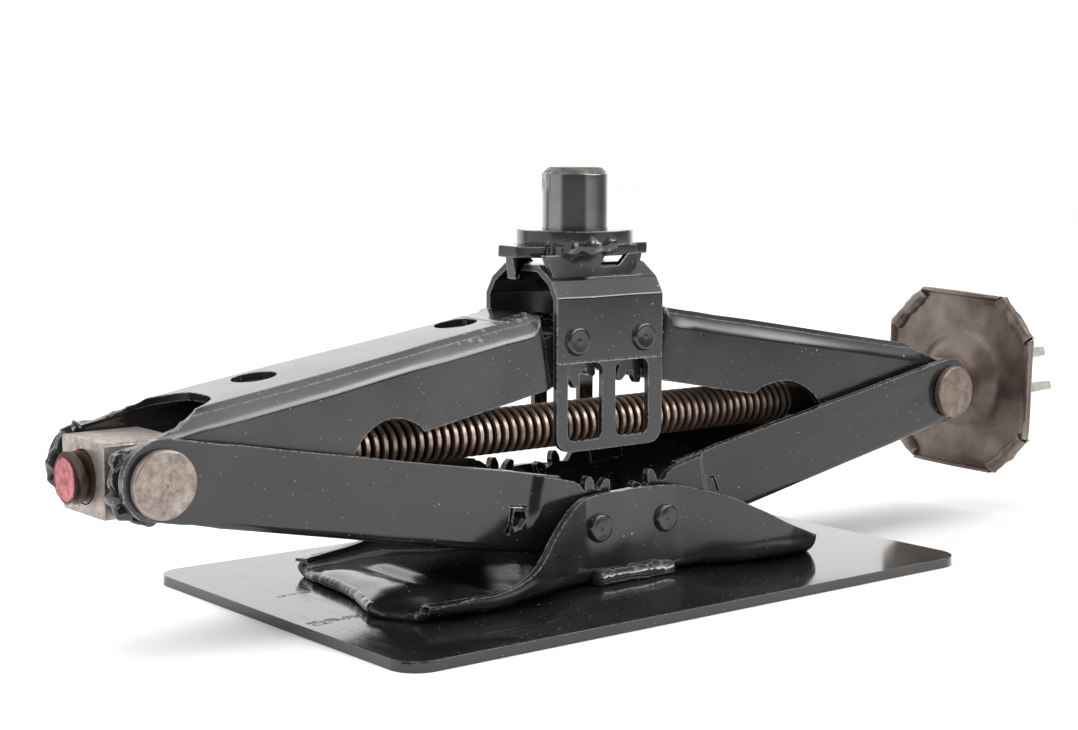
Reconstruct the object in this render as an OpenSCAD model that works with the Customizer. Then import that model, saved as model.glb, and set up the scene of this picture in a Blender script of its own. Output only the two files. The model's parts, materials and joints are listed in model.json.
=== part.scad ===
// Scissor car jack. A base of pressed steel carries two pairs of channel arms, geared together
// at both ends. A lead screw through the side trunnions draws them together and lifts the post.
// X runs along the screw, Y across the jack and Z up. Z = 0 is the underside of the base plate.

/* [Linkage] */
// Distance between the two pivots of every arm
arm_len = 185; // [182:1:190]
// Angle of the arms above the horizontal in the stored position
rest_angle = 11; // [10:0.5:13]
// Distance between the two arm pivots on the base and on the top bracket
pivot_gap = 34; // [34:0.5:35]
// Height of the base pivots above the ground
base_pivot_z = 26; // [25.5:0.5:28]

/* [Base] */
// Length of the base plate
plate_len = 279; // [270:1:300]
// Width of the base plate
plate_w = 175; // [160:1:190]
// Thickness of the base plate
plate_t = 4; // [3:0.5:4]
// Distance from the pivots' middle to the plate's middle
plate_shift = -2.5; // [-5:0.5:5]
// Corner radius of the base plate
plate_r = 11; // [6:1:20]
// Half width of the base bracket at its middle, outside
bracket_waist = 36; // [35.5:0.5:38]
// Half width of the base bracket where it is widest, outside
bracket_flare = 54; // [48:1:60]
// Half length of the base bracket
bracket_half_len = 98; // [94:1:105]
// Wall thickness of the base bracket
bracket_t = 3.5; // [3:0.25:3.5]

/* [Arms] */
// Sheet thickness of the arms
arm_t = 3; // [2.5:0.25:3]
// Half width of the lower arms, outside
lower_half_w = 28.5; // [28.5:0.25:29]
// Half width of the upper arms beside the top bracket, outside
upper_half_w = 19.7; // [19.5:0.1:19.8]
// Depth of a lower arm below its pivot line
lower_depth = 13.5; // [13:0.25:13.5]
// Diameter of the lightening holes in the upper arms
web_hole_d = 16.5; // [12:0.5:18]

/* [Gear ends] */
// Number of teeth on a full circle of each gear end
gear_teeth = 12; // [12:1:12]
// Pressure angle of the teeth
pressure_angle = 25; // [24:1:26]
// Thinning of every tooth, measured along the pitch circle
tooth_thinning = 0.5; // [0.4:0.1:0.8]

/* [Screw] */
// Outer diameter of the thread
screw_d = 18; // [18:0.5:18]
// Pitch of the thread
screw_pitch = 4; // [4:1:5]
// Depth of the thread
thread_depth = 2.2; // [1.5:0.1:2.4]
// Diameter of the plain shank
shank_d = 15; // [13:0.5:15]
// Diameter of the hand wheel across its flats
wheel_flats = 84; // [80:1:90]
// Size of the hand wheel's cut corners
wheel_chamfer = 18; // [14:1:22]

/* [Top] */
// Length of the top bracket along the screw
top_len = 54; // [50:1:54]
// Half width of the top bracket, outside
top_half_w = 22.5; // [22.5:0.1:22.8]
// Depth of the top bracket's cheeks below their pivots
cheek_drop = 43; // [38:1:44]
// Diameter of the lifting post
post_d = 26; // [20:0.5:30]
// Height of the lifting post above its flange
post_h = 24.3; // [15:0.1:30]
// Diameter of the flange under the post
flange_d = 46.4; // [40:0.2:50]

/* [Pins and fits] */
// Diameter of the rivets
rivet_d = 8; // [7:0.5:8]
// Diameter of the rivet heads
rivet_head_d = 11.6; // [10.5:0.1:12]
// Diameter of the trunnion pins
trunnion_pin_d = 14; // [12:1:14]
// Diameter of the trunnion pin heads
trunnion_head_d = 23.2; // [20:0.2:24]
// Radial clearance of a pin that turns in its hole
running_fit = 0.06; // [0.03:0.01:0.08]

/* [Hidden] */
$fn = 64;

pivot_x = pivot_gap / 2;
trunnion_x = pivot_x + arm_len * cos(rest_angle);
trunnion_z = base_pivot_z + arm_len * sin(rest_angle);
top_pivot_z = base_pivot_z + 2 * arm_len * sin(rest_angle);

pitch_r = pivot_gap / 2;
gear_module = pivot_gap / gear_teeth;
tip_r = pitch_r + 0.74 * gear_module;
root_r = pitch_r - 1.0 * gear_module;
base_circle_r = pitch_r * cos(pressure_angle);
// Teeth are counted in degrees above the line that joins the two pivots. One arm of a pair
// has a tooth where the other has a gap.
TEETH_A = [-11, 19, 49];
TEETH_B = [-26, 4, 34, 64];

block_len = 28;
block_w = 31;
block_h = 25.5;
block_chamfer = 0.8;
trunnion_head_t = 3.4;
screw_r = screw_d / 2;
screw_left_x = -trunnion_x - 20.7;
thread_right_x = trunnion_x - 83;
nut_clearance = 0.3;

pin_seat_y = screw_r + nut_clearance + 1.6;
upper_trunnion_half_w = 22.3;
lower_gear_half_w = lower_half_w + 3;
upper_gear_half_w = upper_half_w - 2;
arm_end_r = 14;

top_t = 2.5;
// Heights of the top bracket above its pivots: the cheeks' straight part, shoulders and roof
cheek_h = 18.4;
shoulder_h = 23.6;
roof_h = 29;
saddle_z = top_pivot_z + roof_h + 2.7;
saddle_t = 4.5;
flange_z = saddle_z + saddle_t;
flange_t = 5.8;
post_z = flange_z + flange_t;

PAINT = [0.06, 0.06, 0.065];
PAINT_WORN = [0.13, 0.13, 0.14];
STEEL = [0.62, 0.58, 0.53];
BRONZE = [0.45, 0.36, 0.27];
PASSIVATED = [0.46, 0.42, 0.38];

// ---- helpers -------------------------------------------------------------------------------

module mirrored_x() mirror([1, 0, 0]) children();

// A profile drawn in X and Z, made solid from -half_w to +half_w in Y
module across(half_w) rotate([90, 0, 0]) translate([0, 0, -half_w])
    linear_extrude(2 * half_w) children();

// A round bar along Y, centred on y = 0
module bar_y(r, length) rotate([90, 0, 0]) cylinder(r = r, h = length, center = true);

// A solid of revolution about the X axis, from a profile in (radius, x)
module turned_x() rotate([0, 90, 0]) rotate_extrude() children();

function smooth(t) = let(c = max(0, min(1, t))) c * c * (3 - 2 * c);

// A plan outline, mirrored about the X axis, from points at positive Y
function both_sides(points) = concat(
    points, [for (i = [len(points) - 1:-1:0]) [points[i][0], -points[i][1]]]);

// ---- arms ----------------------------------------------------------------------------------

function involute(a) = tan(a) * 180 / PI - a;
function tooth_half_angle(r) = 90 / gear_teeth - tooth_thinning / 2 / pitch_r * 180 / PI
    + involute(pressure_angle) - involute(acos(min(1, base_circle_r / r)));
function polar(r, a) = [r * cos(a), r * sin(a)];

// One involute tooth that points along `angle` in the profile plane
module tooth(angle) {
    steps = 5;
    radii = [for (i = [0:steps]) base_circle_r + (tip_r - base_circle_r) * i / steps];
    foot = [root_r - 1, tooth_half_angle(base_circle_r)];
    flank = concat([foot], [for (r = radii) [r, tooth_half_angle(r)]]);
    polygon(concat(
        [for (p = flank) polar(p[0], angle - p[1])],
        [for (i = [len(flank) - 1:-1:0]) polar(flank[i][0], angle + flank[i][1])]));
}

// Outline of an arm in its own frame: the pivot at the origin, the trunnion at (arm_len, 0),
// the web at negative Z and the open side at positive Z
module arm_outline(web_line, edge_line) {
    round_end = [for (a = [-75:15:75])
        [arm_len + arm_end_r * cos(a), (a < 0 ? -web_line[1] : edge_line[1]) * sin(a)]];
    polygon(concat(
        [[0, web_line[0]], [arm_len, web_line[1]]],
        round_end,
        [[arm_len, edge_line[1]], [12, edge_line[0]], [1, edge_line[0] - 1]]));
}

// A channel-section arm with a gear end. `plan` and `plan_in` are half outlines in (s, y), the
// web spans web_from..web_to, and the teeth mesh along the line between the pivots.
module arm(plan, plan_in, web_line, edge_line, web_from, web_to, teeth) {
    half = max([for (p = plan) p[1]]);
    tilt = (web_line[1] - web_line[0]) / arm_len;
    web_strip = [for (p = [[web_from, -9], [web_to, -9], [web_to, arm_t], [web_from, arm_t]])
        [p[0], web_line[0] + tilt * p[0] + p[1]]];
    module envelope() intersection() {
        union() {
            across(half) arm_outline(web_line, edge_line);
            bar_y(root_r, 2 * half);
            for (angle = teeth) across(half) tooth(180 - rest_angle - angle);
        }
        translate([0, 0, -50]) linear_extrude(100) polygon(both_sides(plan));
    }
    difference() {
        envelope();
        translate([0, 0, -60]) linear_extrude(120) polygon(both_sides(plan_in));
    }
    intersection() {
        envelope();
        across(half) polygon(web_strip);
    }
}

lower_plan = [
    [-30, lower_gear_half_w], [27, lower_gear_half_w], [31, lower_half_w], [210, lower_half_w]];
lower_plan_in = [
    [-31, lower_gear_half_w - arm_t], [26.4, lower_gear_half_w - arm_t],
    [30.4, lower_half_w - arm_t], [211, lower_half_w - arm_t]];
upper_plan = [
    [-30, upper_gear_half_w], [13, upper_gear_half_w], [15.5, upper_half_w],
    [60, upper_half_w], [110, upper_trunnion_half_w], [210, upper_trunnion_half_w]];
upper_plan_in = [
    [-31, upper_gear_half_w - arm_t], [13.6, upper_gear_half_w - arm_t],
    [16.1, upper_half_w - arm_t], [60, upper_half_w - arm_t],
    [110, upper_trunnion_half_w - arm_t], [211, upper_trunnion_half_w - arm_t]];
pivot_hole_r = rivet_d / 2 + running_fit;
trunnion_hole_r = trunnion_pin_d / 2 + running_fit;

// Notch in a lower arm's web under the trunnion block
lower_notch_s = arm_len - 21;
lower_notch_r = 19;

module lower_arm(teeth) difference() {
    arm(lower_plan, lower_plan_in, [-lower_depth, -lower_depth], [17.6, 14.5], 14, 158, teeth);
    bar_y(pivot_hole_r, 80);
    translate([arm_len, 0, 0]) bar_y(trunnion_hole_r, 80);
    translate([lower_notch_s, 0, -60]) cylinder(r = lower_notch_r, h = 60);
}

// Places of the lightening holes along the upper arms, and their offset from the middle
web_hole_s = [36, 126];
web_hole_y = 5;
// Notch in an upper arm's web over the trunnion block
upper_notch_s = arm_len - 20;
upper_notch_r = 17.5;
// Arched relief over the screw: place along the arm, height of its centre and radius
LEFT_RELIEF = [90.5, 25, 19];
RIGHT_RELIEF = [88.5, 37, 29.3];

// Drawn like the lower arm, with its web at negative Z, and turned over where it is placed
module upper_arm(teeth, pivot_r, relief) difference() {
    arm(upper_plan, upper_plan_in, [-12.9, -19], [16.2, 14], 13.5, 172, teeth);
    bar_y(pivot_r, 60);
    translate([arm_len, 0, 0]) bar_y(trunnion_hole_r, 60);
    for (s = web_hole_s) translate([s, web_hole_y, -40]) cylinder(d = web_hole_d, h = 60);
    translate([upper_notch_s, 0, -60]) cylinder(r = upper_notch_r, h = 60);
    translate([upper_notch_s, -upper_notch_r, -60]) cube([40, 2 * upper_notch_r, 60]);
    translate([relief[0], 0, relief[1]]) bar_y(relief[2], 60);
}

module at_lower_pivot() translate([pivot_x, 0, base_pivot_z]) rotate([0, -rest_angle, 0])
    children();
module at_upper_pivot() translate([pivot_x, 0, top_pivot_z]) rotate([0, rest_angle, 0])
    mirror([0, 0, 1]) children();

module lower_right_arm() color(PAINT) at_lower_pivot() lower_arm(TEETH_A);
module lower_left_arm() color(PAINT) mirrored_x() at_lower_pivot() lower_arm(TEETH_B);
module upper_left_arm() color(PAINT_WORN) mirrored_x() at_upper_pivot()
    upper_arm(TEETH_A, pivot_hole_r, LEFT_RELIEF);
// The linkage closes at this arm's pivot, so its hole has a little more room
module upper_right_arm() color(PAINT_WORN) at_upper_pivot()
    upper_arm(TEETH_B, pivot_hole_r + 0.14, RIGHT_RELIEF);

// ---- base ----------------------------------------------------------------------------------

module base_plate() color(PAINT) translate([plate_shift, 0, 0]) linear_extrude(plate_t) union() {
    square([plate_len - 2 * plate_r, plate_w], center = true);
    square([plate_len, plate_w - 2 * plate_r], center = true);
    for (sx = [-1, 1], sy = [-1, 1])
        translate([sx * (plate_len / 2 - plate_r), sy * (plate_w / 2 - plate_r)]) circle(plate_r);
}

// Half width of the bracket at x: narrow beside the arms, flared out toward its ends
function bracket_y(x) = bracket_waist + (bracket_flare - bracket_waist)
    * (smooth((abs(x) - 24.5) / 40) - 0.45 * smooth((abs(x) - 70) / 30));
// Height of the bracket's wall at x
function bracket_z(x) = plate_t + 35.5 - 27.5 * smooth((abs(x) - 14) / 72);

bracket_stations = [for (i = [-16:16]) i * bracket_half_len / 16];
function bracket_outline(inset, overrun) = both_sides([for (x = bracket_stations)
    [x * (1 + overrun / bracket_half_len), bracket_y(x) - inset]]);

module base_bracket() color(PAINT) difference() {
    union() {
        intersection() {
            difference() {
                translate([0, 0, plate_t]) linear_extrude(60)
                    polygon(bracket_outline(0, 0));
                linear_extrude(90) polygon(bracket_outline(bracket_t, 3));
            }
            across(70) polygon(concat(
                [for (x = bracket_stations) [x, bracket_z(x)]],
                [[bracket_half_len, 0], [-bracket_half_len, 0]]));
        }
        translate([0, 0, plate_t]) linear_extrude(3) polygon(bracket_outline(0.5, 0));
    }
    for (side = [-1, 1]) translate([side * pivot_x, 0, base_pivot_z])
        bar_y(rivet_d / 2 + 0.01, 2 * bracket_waist + 4);
}

// Fillet welds along the foot of both bracket walls
module bracket_welds() color(PAINT_WORN) difference() {
    for (side = [-1, 1]) translate([-6, side * bracket_waist, plate_t]) rotate([0, 90, 0])
        cylinder(r = 4.5, h = 36, center = true);
    translate([0, 0, plate_t - 20]) linear_extrude(20) square(200, center = true);
    linear_extrude(30) polygon(bracket_outline(0, 0));
}

// A rivet along Y: a shank with a low domed head at both ends
module rivet(half_grip, dome = 2.2) {
    bar_y(rivet_d / 2, 2 * half_grip);
    for (end = [-1, 1]) translate([0, end * half_grip, 0]) rotate([-90 * end, 0, 0])
        rotate_extrude() polygon([
            [0, 0], [rivet_head_d / 2, 0], [rivet_head_d / 2, dome * 0.45],
            [rivet_head_d * 0.46, dome * 0.75], [rivet_head_d * 0.36, dome * 0.94], [0, dome]]);
}

module base_rivet_left() color(PAINT_WORN) translate([-pivot_x, 0, base_pivot_z])
    rivet(bracket_waist);
module base_rivet_right() color(PAINT_WORN) translate([pivot_x, 0, base_pivot_z])
    rivet(bracket_waist);

// ---- trunnions -----------------------------------------------------------------------------

// A bare steel block with a bore along X for the screw and a blind seat on each side for a pin
module trunnion_block(bore_r) difference() {
    intersection() {
        cube([block_len, block_w, block_h], center = true);
        rotate([45, 0, 0]) cube(
            [block_len + 1, (block_w + block_h) / sqrt(2) - block_chamfer,
             (block_w + block_h) / sqrt(2) - block_chamfer], center = true);
    }
    rotate([0, 90, 0]) cylinder(r = bore_r, h = block_len + 2, center = true);
    for (side = [-1, 1]) translate([0, side * (pin_seat_y + 10), 0])
        bar_y(trunnion_pin_d / 2 + 0.01, 20);
}

// The two headed pins that carry the arms
module trunnion_pins() for (side = [-1, 1]) {
    head_y = lower_half_w + 0.2;
    translate([0, side * (pin_seat_y + head_y) / 2, 0])
        bar_y(trunnion_pin_d / 2, head_y - pin_seat_y);
    translate([0, side * head_y, 0]) rotate([-90 * side, 0, 0]) rotate_extrude() polygon([
        [0, 0], [trunnion_head_d / 2 - 0.4, 0], [trunnion_head_d / 2, 0.4],
        [trunnion_head_d / 2, trunnion_head_t - 0.7],
        [trunnion_head_d / 2 - 0.7, trunnion_head_t], [0, trunnion_head_t]]);
}

// Spacing washers between the upper and the lower arm
module trunnion_washers() {
    gap = lower_half_w - arm_t - upper_trunnion_half_w;
    for (side = [-1, 1]) translate([0, side * (upper_trunnion_half_w + gap / 2), 0]) difference() {
        bar_y(trunnion_pin_d / 2 + 3.5, gap - 0.3);
        bar_y(trunnion_pin_d / 2 + 0.02, gap + 1);
    }
}

module at_left_trunnion() translate([-trunnion_x, 0, trunnion_z]) children();
module at_right_trunnion() translate([trunnion_x, 0, trunnion_z]) children();

module left_trunnion_nut() color(STEEL) at_left_trunnion()
    trunnion_block(screw_r + nut_clearance);
module left_trunnion_pins() color(STEEL) at_left_trunnion() trunnion_pins();
module left_trunnion_washers() color(PAINT_WORN) at_left_trunnion() trunnion_washers();
module right_trunnion_block() color(STEEL) at_right_trunnion()
    trunnion_block(shank_d / 2 + running_fit);
module right_trunnion_pins() color(STEEL) at_right_trunnion() trunnion_pins();
module right_trunnion_washers() color(PAINT_WORN) at_right_trunnion() trunnion_washers();

// ---- lead screw and drive ------------------------------------------------------------------

collar_x = trunnion_x - block_len / 2 - 0.25;
collar_len = 9;
bearing_x = trunnion_x + block_len / 2 + 0.25;
bearing_len = 7;
sleeve_x = bearing_x + bearing_len;
wheel_dome_x = trunnion_x + 32.9;
wheel_rim_x = trunnion_x + 37.9;
wheel_depth = 5;
wheel_roll = 2;
wheel_t = 1.8;
wheel_floor_x = wheel_rim_x + wheel_depth;
yoke_x = wheel_floor_x + 0.2;
yoke_base_t = 5;
yoke_end_x = trunnion_x + 103.4;
yoke_half_gap = 6.5;
yoke_ear_t = 4;
yoke_w = 20;
yoke_roll = 15;
yoke_eye_r = 5.25;
// Reduced end of the screw, which passes through the yoke's base
stub_r = 4.5;

// Screw: trapezoidal grooves turned into the threaded part, then the plain shank
module lead_screw() color(BRONZE) translate([0, 0, trunnion_z]) {
    grooves = floor((thread_right_x - screw_left_x - 6) / screw_pitch);
    crest = screw_pitch * 0.36;
    root = screw_pitch * 0.34;
    slope = (screw_pitch - crest - root) / 2;
    core = screw_r - thread_depth;
    outline = concat(
        [[0, screw_left_x], [screw_r - 2, screw_left_x], [screw_r, screw_left_x + 2.4]],
        [for (i = [0:grooves - 1], p = [
            [screw_r, crest], [core, crest + slope], [core, crest + slope + root],
            [screw_r, screw_pitch]])
            [p[0], screw_left_x + 2.4 + i * screw_pitch + p[1]]],
        [[screw_r, thread_right_x], [shank_d / 2, thread_right_x + 1.5],
         [shank_d / 2, yoke_x], [stub_r, yoke_x], [stub_r, yoke_x + yoke_base_t],
         [0, yoke_x + yoke_base_t]]);
    turned_x() polygon(outline);
}

// A ring around the shank, from x0 to x1
module shank_ring(x0, x1, outer_r, inner_r = shank_d / 2 + 0.02) translate([x0, 0, trunnion_z])
    rotate([0, 90, 0]) difference() {
        cylinder(r = outer_r, h = x1 - x0);
        translate([0, 0, -1]) cylinder(r = inner_r, h = x1 - x0 + 2);
    }

// Collar pinned to the shank inside the block, with a cross pin's hole
module stop_collar() color(STEEL) difference() {
    shank_ring(collar_x - collar_len, collar_x, shank_d / 2 + 4);
    translate([collar_x - collar_len / 2, 0, trunnion_z + shank_d / 2]) cylinder(r = 1.5, h = 10);
}

// Two bearing races with the cage between them
module thrust_bearing() color(STEEL) {
    shank_ring(bearing_x, bearing_x + 1.5, 12);
    shank_ring(bearing_x + 1.55, sleeve_x - 1.55, 11.2, shank_d / 2 + 0.7);
    shank_ring(sleeve_x - 1.5, sleeve_x, 12);
}

module wheel_sleeve() color(PASSIVATED) shank_ring(sleeve_x + 0.05, wheel_dome_x - 0.05, 10.5);

// Octagonal outline: a square with cut corners
module wheel_outline(inset) {
    h = wheel_flats / 2 - inset;
    c = h - wheel_chamfer + 0.4 * inset;
    polygon([[h, c], [c, h], [-c, h], [-h, c], [-h, -c], [-c, -h], [c, -h], [h, -c]]);
}

// Pressed octagonal tray, open toward the jack, with a round dome at its centre
module hand_wheel() color(PASSIVATED) translate([0, 0, trunnion_z]) {
    dome_r = 24;
    hole_r = shank_d / 2 + 0.02;
    translate([wheel_rim_x, 0, 0]) rotate([wheel_roll, 0, 0]) rotate([0, 90, 0]) {
        difference() {
            linear_extrude(wheel_depth) wheel_outline(0);
            translate([0, 0, -1]) linear_extrude(wheel_depth - wheel_t + 1)
                wheel_outline(wheel_t);
            translate([0, 0, -1]) cylinder(r = dome_r, h = wheel_depth + 2);
        }
    }
    turned_x() polygon([
        [dome_r, wheel_floor_x], [dome_r, wheel_floor_x - wheel_t],
        [dome_r - 5, wheel_floor_x - wheel_t - 2], [dome_r - 9, wheel_dome_x + 0.6],
        [dome_r - 11, wheel_dome_x], [hole_r, wheel_dome_x], [hole_r, wheel_dome_x + wheel_t],
        [dome_r - 11, wheel_dome_x + wheel_t], [dome_r - 8, wheel_dome_x + wheel_t + 1],
        [dome_r - 4, wheel_floor_x]]);
    // Back boss that seats the wheel on the yoke
    turned_x() polygon([
        [hole_r, wheel_dome_x + wheel_t], [12, wheel_dome_x + wheel_t], [12, wheel_floor_x],
        [hole_r, wheel_floor_x]]);
}

// U-shaped yoke with an eye through both ears for the crank's hook
module drive_yoke() color([0.66, 0.67, 0.62]) translate([yoke_x, 0, trunnion_z])
    rotate([-yoke_roll, 0, 0]) difference() {
        ear_z = yoke_half_gap + yoke_ear_t;
        ear_len = yoke_end_x - yoke_x;
        union() {
            translate([0, -yoke_w / 2, -ear_z]) cube([yoke_base_t, yoke_w, 2 * ear_z]);
            for (side = [-1, 1]) translate([0, 0, side > 0 ? yoke_half_gap : -ear_z]) {
                translate([1, -yoke_w / 2, 0])
                    cube([ear_len - yoke_w / 2 - 1, yoke_w, yoke_ear_t]);
                translate([ear_len - yoke_w / 2, 0, 0]) cylinder(d = yoke_w, h = yoke_ear_t);
            }
        }
        rotate([0, 90, 0]) translate([0, 0, -1]) cylinder(r = stub_r + 0.02, h = yoke_base_t + 2);
        translate([ear_len - yoke_w / 2, 0, -30]) cylinder(r = yoke_eye_r, h = 60);
    }

// The end of the screw, headed over the yoke's base
module screw_end_rivet() color(STEEL) translate([0, 0, trunnion_z]) {
    head_x = yoke_x + yoke_base_t;
    turned_x() polygon([
        [0, head_x], [stub_r + 1.7, head_x], [stub_r + 1.3, head_x + 1.6],
        [stub_r - 0.6, head_x + 2.7], [0, head_x + 3.1]]);
}

// ---- top bracket, saddle and post ----------------------------------------------------------

// Half section of the top bracket, in (y, z) above its pivots
function top_section(inset) = let(w = top_half_w - inset) [
    [w, -cheek_drop - 1], [w, cheek_h], [w - 4, shoulder_h - 0.3 * inset],
    [10, roof_h - inset]];

module rounded_rect(x0, x1, z0, z1, r) translate([x0 + r, z0 + r]) {
    square([x1 - x0 - 2 * r, z1 - z0 - 2 * r]);
    translate([-r, 0]) square([x1 - x0, z1 - z0 - 2 * r]);
    translate([0, -r]) square([x1 - x0 - 2 * r, z1 - z0]);
    for (x = [0, x1 - x0 - 2 * r], z = [0, z1 - z0 - 2 * r]) translate([x, z]) circle(r);
}

// Bent plate over the upper arms, with two windows in each cheek
module top_bracket() color(PAINT_WORN) translate([0, 0, top_pivot_z]) difference() {
    intersection() {
        translate([-top_len / 2, 0, 0]) rotate([90, 0, 90]) linear_extrude(top_len) difference() {
            polygon(concat(top_section(0), [for (i = [3:-1:0])
                [-top_section(0)[i][0], top_section(0)[i][1]]]));
            polygon(concat([[top_half_w - top_t, -cheek_drop - 2]], top_section(top_t),
                [for (i = [3:-1:0]) [-top_section(top_t)[i][0], top_section(top_t)[i][1]]],
                [[-top_half_w + top_t, -cheek_drop - 2]]));
        }
        across(40) rounded_rect(-top_len / 2, top_len / 2, -cheek_drop, 60, 6);
    }
    for (x0 = [-21.6, 2.5]) across(40) rounded_rect(x0, x0 + 17.4, -38.8, -9, 3.5);
    for (side = [-1, 1]) translate([side * pivot_x, 0, 0])
        bar_y(rivet_d / 2 + 0.01, 2 * top_half_w + 4);
}

module top_rivet_left() color(PAINT_WORN) translate([-pivot_x, 0, top_pivot_z])
    rivet(top_half_w, 1.6);
module top_rivet_right() color(PAINT_WORN) translate([pivot_x, 0, top_pivot_z])
    rivet(top_half_w, 1.6);

// Washers that centre the upper arms' gear ends between the cheeks
module top_washers() color(PAINT_WORN) {
    gap = top_half_w - top_t - upper_gear_half_w;
    for (sx = [-1, 1], sy = [-1, 1])
        translate([sx * pivot_x, sy * (upper_gear_half_w + gap / 2), top_pivot_z]) difference() {
            bar_y(rivet_d / 2 + 3.6, gap - 0.3);
            bar_y(rivet_d / 2 + 0.02, gap + 1);
        }
}

// Height of the bracket's sloping shoulder, above the pivots, at distance y from the middle
function shoulder(y) = roof_h - (y - 10) * (roof_h - shoulder_h) / (top_half_w - 14);

// Stamped saddle: a plate under the post's flange with a tongue and a turned-down hook at each
// end. It stands on the bracket's shoulders on a flap with a notch at each side, with the two
// sides turned end for end.
module saddle_plate() color(PAINT) translate([0, 0, top_pivot_z]) {
    half_w = 15;
    under = saddle_z - top_pivot_z;
    translate([-20, -half_w, under]) cube([40, 2 * half_w, saddle_t]);
    for (turn = [0, 180]) rotate([0, 0, turn]) {
        translate([15, -5, under]) cube([18, 10, saddle_t]);
        translate([30, -4, under - 8.5]) cube([3, 8, 9]);
        for (span = [[-24, 3, under + 0.5], [3, 11, under - 3], [11, 17, under + 0.5]])
            translate([span[0], 0, 0]) rotate([90, 0, 90])
                linear_extrude(span[1] - span[0]) polygon([
                    [-11, shoulder(11)], [-half_w, shoulder(half_w)], [-half_w, span[2]],
                    [-11, span[2]]]);
    }
}

// Fillet welds between the wide flaps and the shoulders
module saddle_welds() color(PAINT_WORN) translate([0, 0, top_pivot_z])
    for (turn = [0, 180]) rotate([0, 0, turn]) translate([-20, 0, 0]) rotate([90, 0, 90])
        linear_extrude(30) polygon([
            [-15, shoulder(15)], [-17.6, shoulder(17.6)], [-16.6, shoulder(15) + 0.9],
            [-15, shoulder(15) + 2]]);

module lift_flange() color(PAINT) translate([0, 0, flange_z]) rotate_extrude() polygon([
    [0, 0], [flange_d / 2 - 0.6, 0], [flange_d / 2, 0.6], [flange_d / 2, flange_t - 0.6],
    [flange_d / 2 - 0.6, flange_t], [0, flange_t]]);

// Lumpy weld under the flange's edge, along part of the saddle
module flange_weld() color(PAINT_WORN) difference() {
    for (angle = [-150:8:-86]) rotate([0, 0, angle])
        translate([flange_d / 2 - 3.4, 0, flange_z - 1]) sphere(r = 3.6 + 0.3 * cos(5 * angle));
    translate([0, 0, flange_z]) cylinder(d = flange_d, h = flange_t);
    translate([-20, -15, flange_z - 20]) cube([40, 30, 20]);
    translate([-33, -5, flange_z - 20]) cube([66, 10, 20]);
}

module lift_post() color(PAINT) translate([0, 0, post_z]) rotate_extrude() polygon([
    [0, 0], [post_d / 2, 0], [post_d / 2, post_h - 2.6], [post_d / 2 - 2.4, post_h],
    [0, post_h]]);

base_plate();
base_bracket();
bracket_welds();
base_rivet_left();
base_rivet_right();
lower_left_arm();
lower_right_arm();
upper_left_arm();
upper_right_arm();
left_trunnion_nut();
left_trunnion_pins();
left_trunnion_washers();
right_trunnion_block();
right_trunnion_pins();
right_trunnion_washers();
lead_screw();
stop_collar();
thrust_bearing();
wheel_sleeve();
hand_wheel();
drive_yoke();
screw_end_rivet();
top_bracket();
top_rivet_left();
top_rivet_right();
top_washers();
saddle_plate();
saddle_welds();
lift_flange();
flange_weld();
lift_post();
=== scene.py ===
import json
import math
import random

import bmesh
import bpy
from mathutils import Matrix, Vector, noise


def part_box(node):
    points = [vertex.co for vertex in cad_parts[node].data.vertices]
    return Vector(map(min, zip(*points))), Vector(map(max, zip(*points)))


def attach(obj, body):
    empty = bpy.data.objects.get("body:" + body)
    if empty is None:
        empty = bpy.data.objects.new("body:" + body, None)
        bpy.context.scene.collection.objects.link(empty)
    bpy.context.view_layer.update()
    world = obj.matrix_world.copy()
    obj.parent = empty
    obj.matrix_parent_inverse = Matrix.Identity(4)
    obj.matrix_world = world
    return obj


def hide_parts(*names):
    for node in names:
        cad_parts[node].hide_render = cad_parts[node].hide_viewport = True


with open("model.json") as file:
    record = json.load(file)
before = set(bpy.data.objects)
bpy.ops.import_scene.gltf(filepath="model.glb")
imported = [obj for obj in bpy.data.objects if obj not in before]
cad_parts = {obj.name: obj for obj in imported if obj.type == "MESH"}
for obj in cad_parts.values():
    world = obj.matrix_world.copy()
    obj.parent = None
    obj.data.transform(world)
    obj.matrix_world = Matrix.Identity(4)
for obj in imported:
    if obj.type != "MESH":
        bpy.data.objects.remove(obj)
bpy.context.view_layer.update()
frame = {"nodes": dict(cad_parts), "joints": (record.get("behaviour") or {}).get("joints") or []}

MM = 0.001
SEED = 11
random.seed(SEED)
# Noise vectors have a generator of their own, which otherwise starts from the clock
noise.seed_set(SEED)
scene = bpy.context.scene


# ---- where things are, in millimetres, from the frame --------------------------------------

JOINTS = {j["name"]: j for j in frame["joints"]}


def joint_mm(name):
    return Vector(JOINTS[name]["pos_m"]) / MM


def box_mm(node):
    low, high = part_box(node)
    return low / MM, high / MM


PIVOT_X, _, BASE_Z = joint_mm("lower_right_pivot")
TRUNNION_X, _, TRUNNION_Z = joint_mm("right_trunnion_level")
TOP_Z = joint_mm("top_level").z
ARM_LEN = math.hypot(TRUNNION_X - PIVOT_X, TRUNNION_Z - BASE_Z)
REST = math.atan2(TRUNNION_Z - BASE_Z, TRUNNION_X - PIVOT_X)


# ---- camera, light and floor ---------------------------------------------------------------

# Place in metres; yaw, pitch and roll in degrees; lens in millimetres
CAMERA_AT = (-0.4961, -0.5941, 0.1730)
CAMERA_TURN = (38.83, -6.55, 0.26)
CAMERA_LENS = 65.1


def linked(name, data):
    obj = bpy.data.objects.new(name, data)
    scene.collection.objects.link(obj)
    return obj


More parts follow.
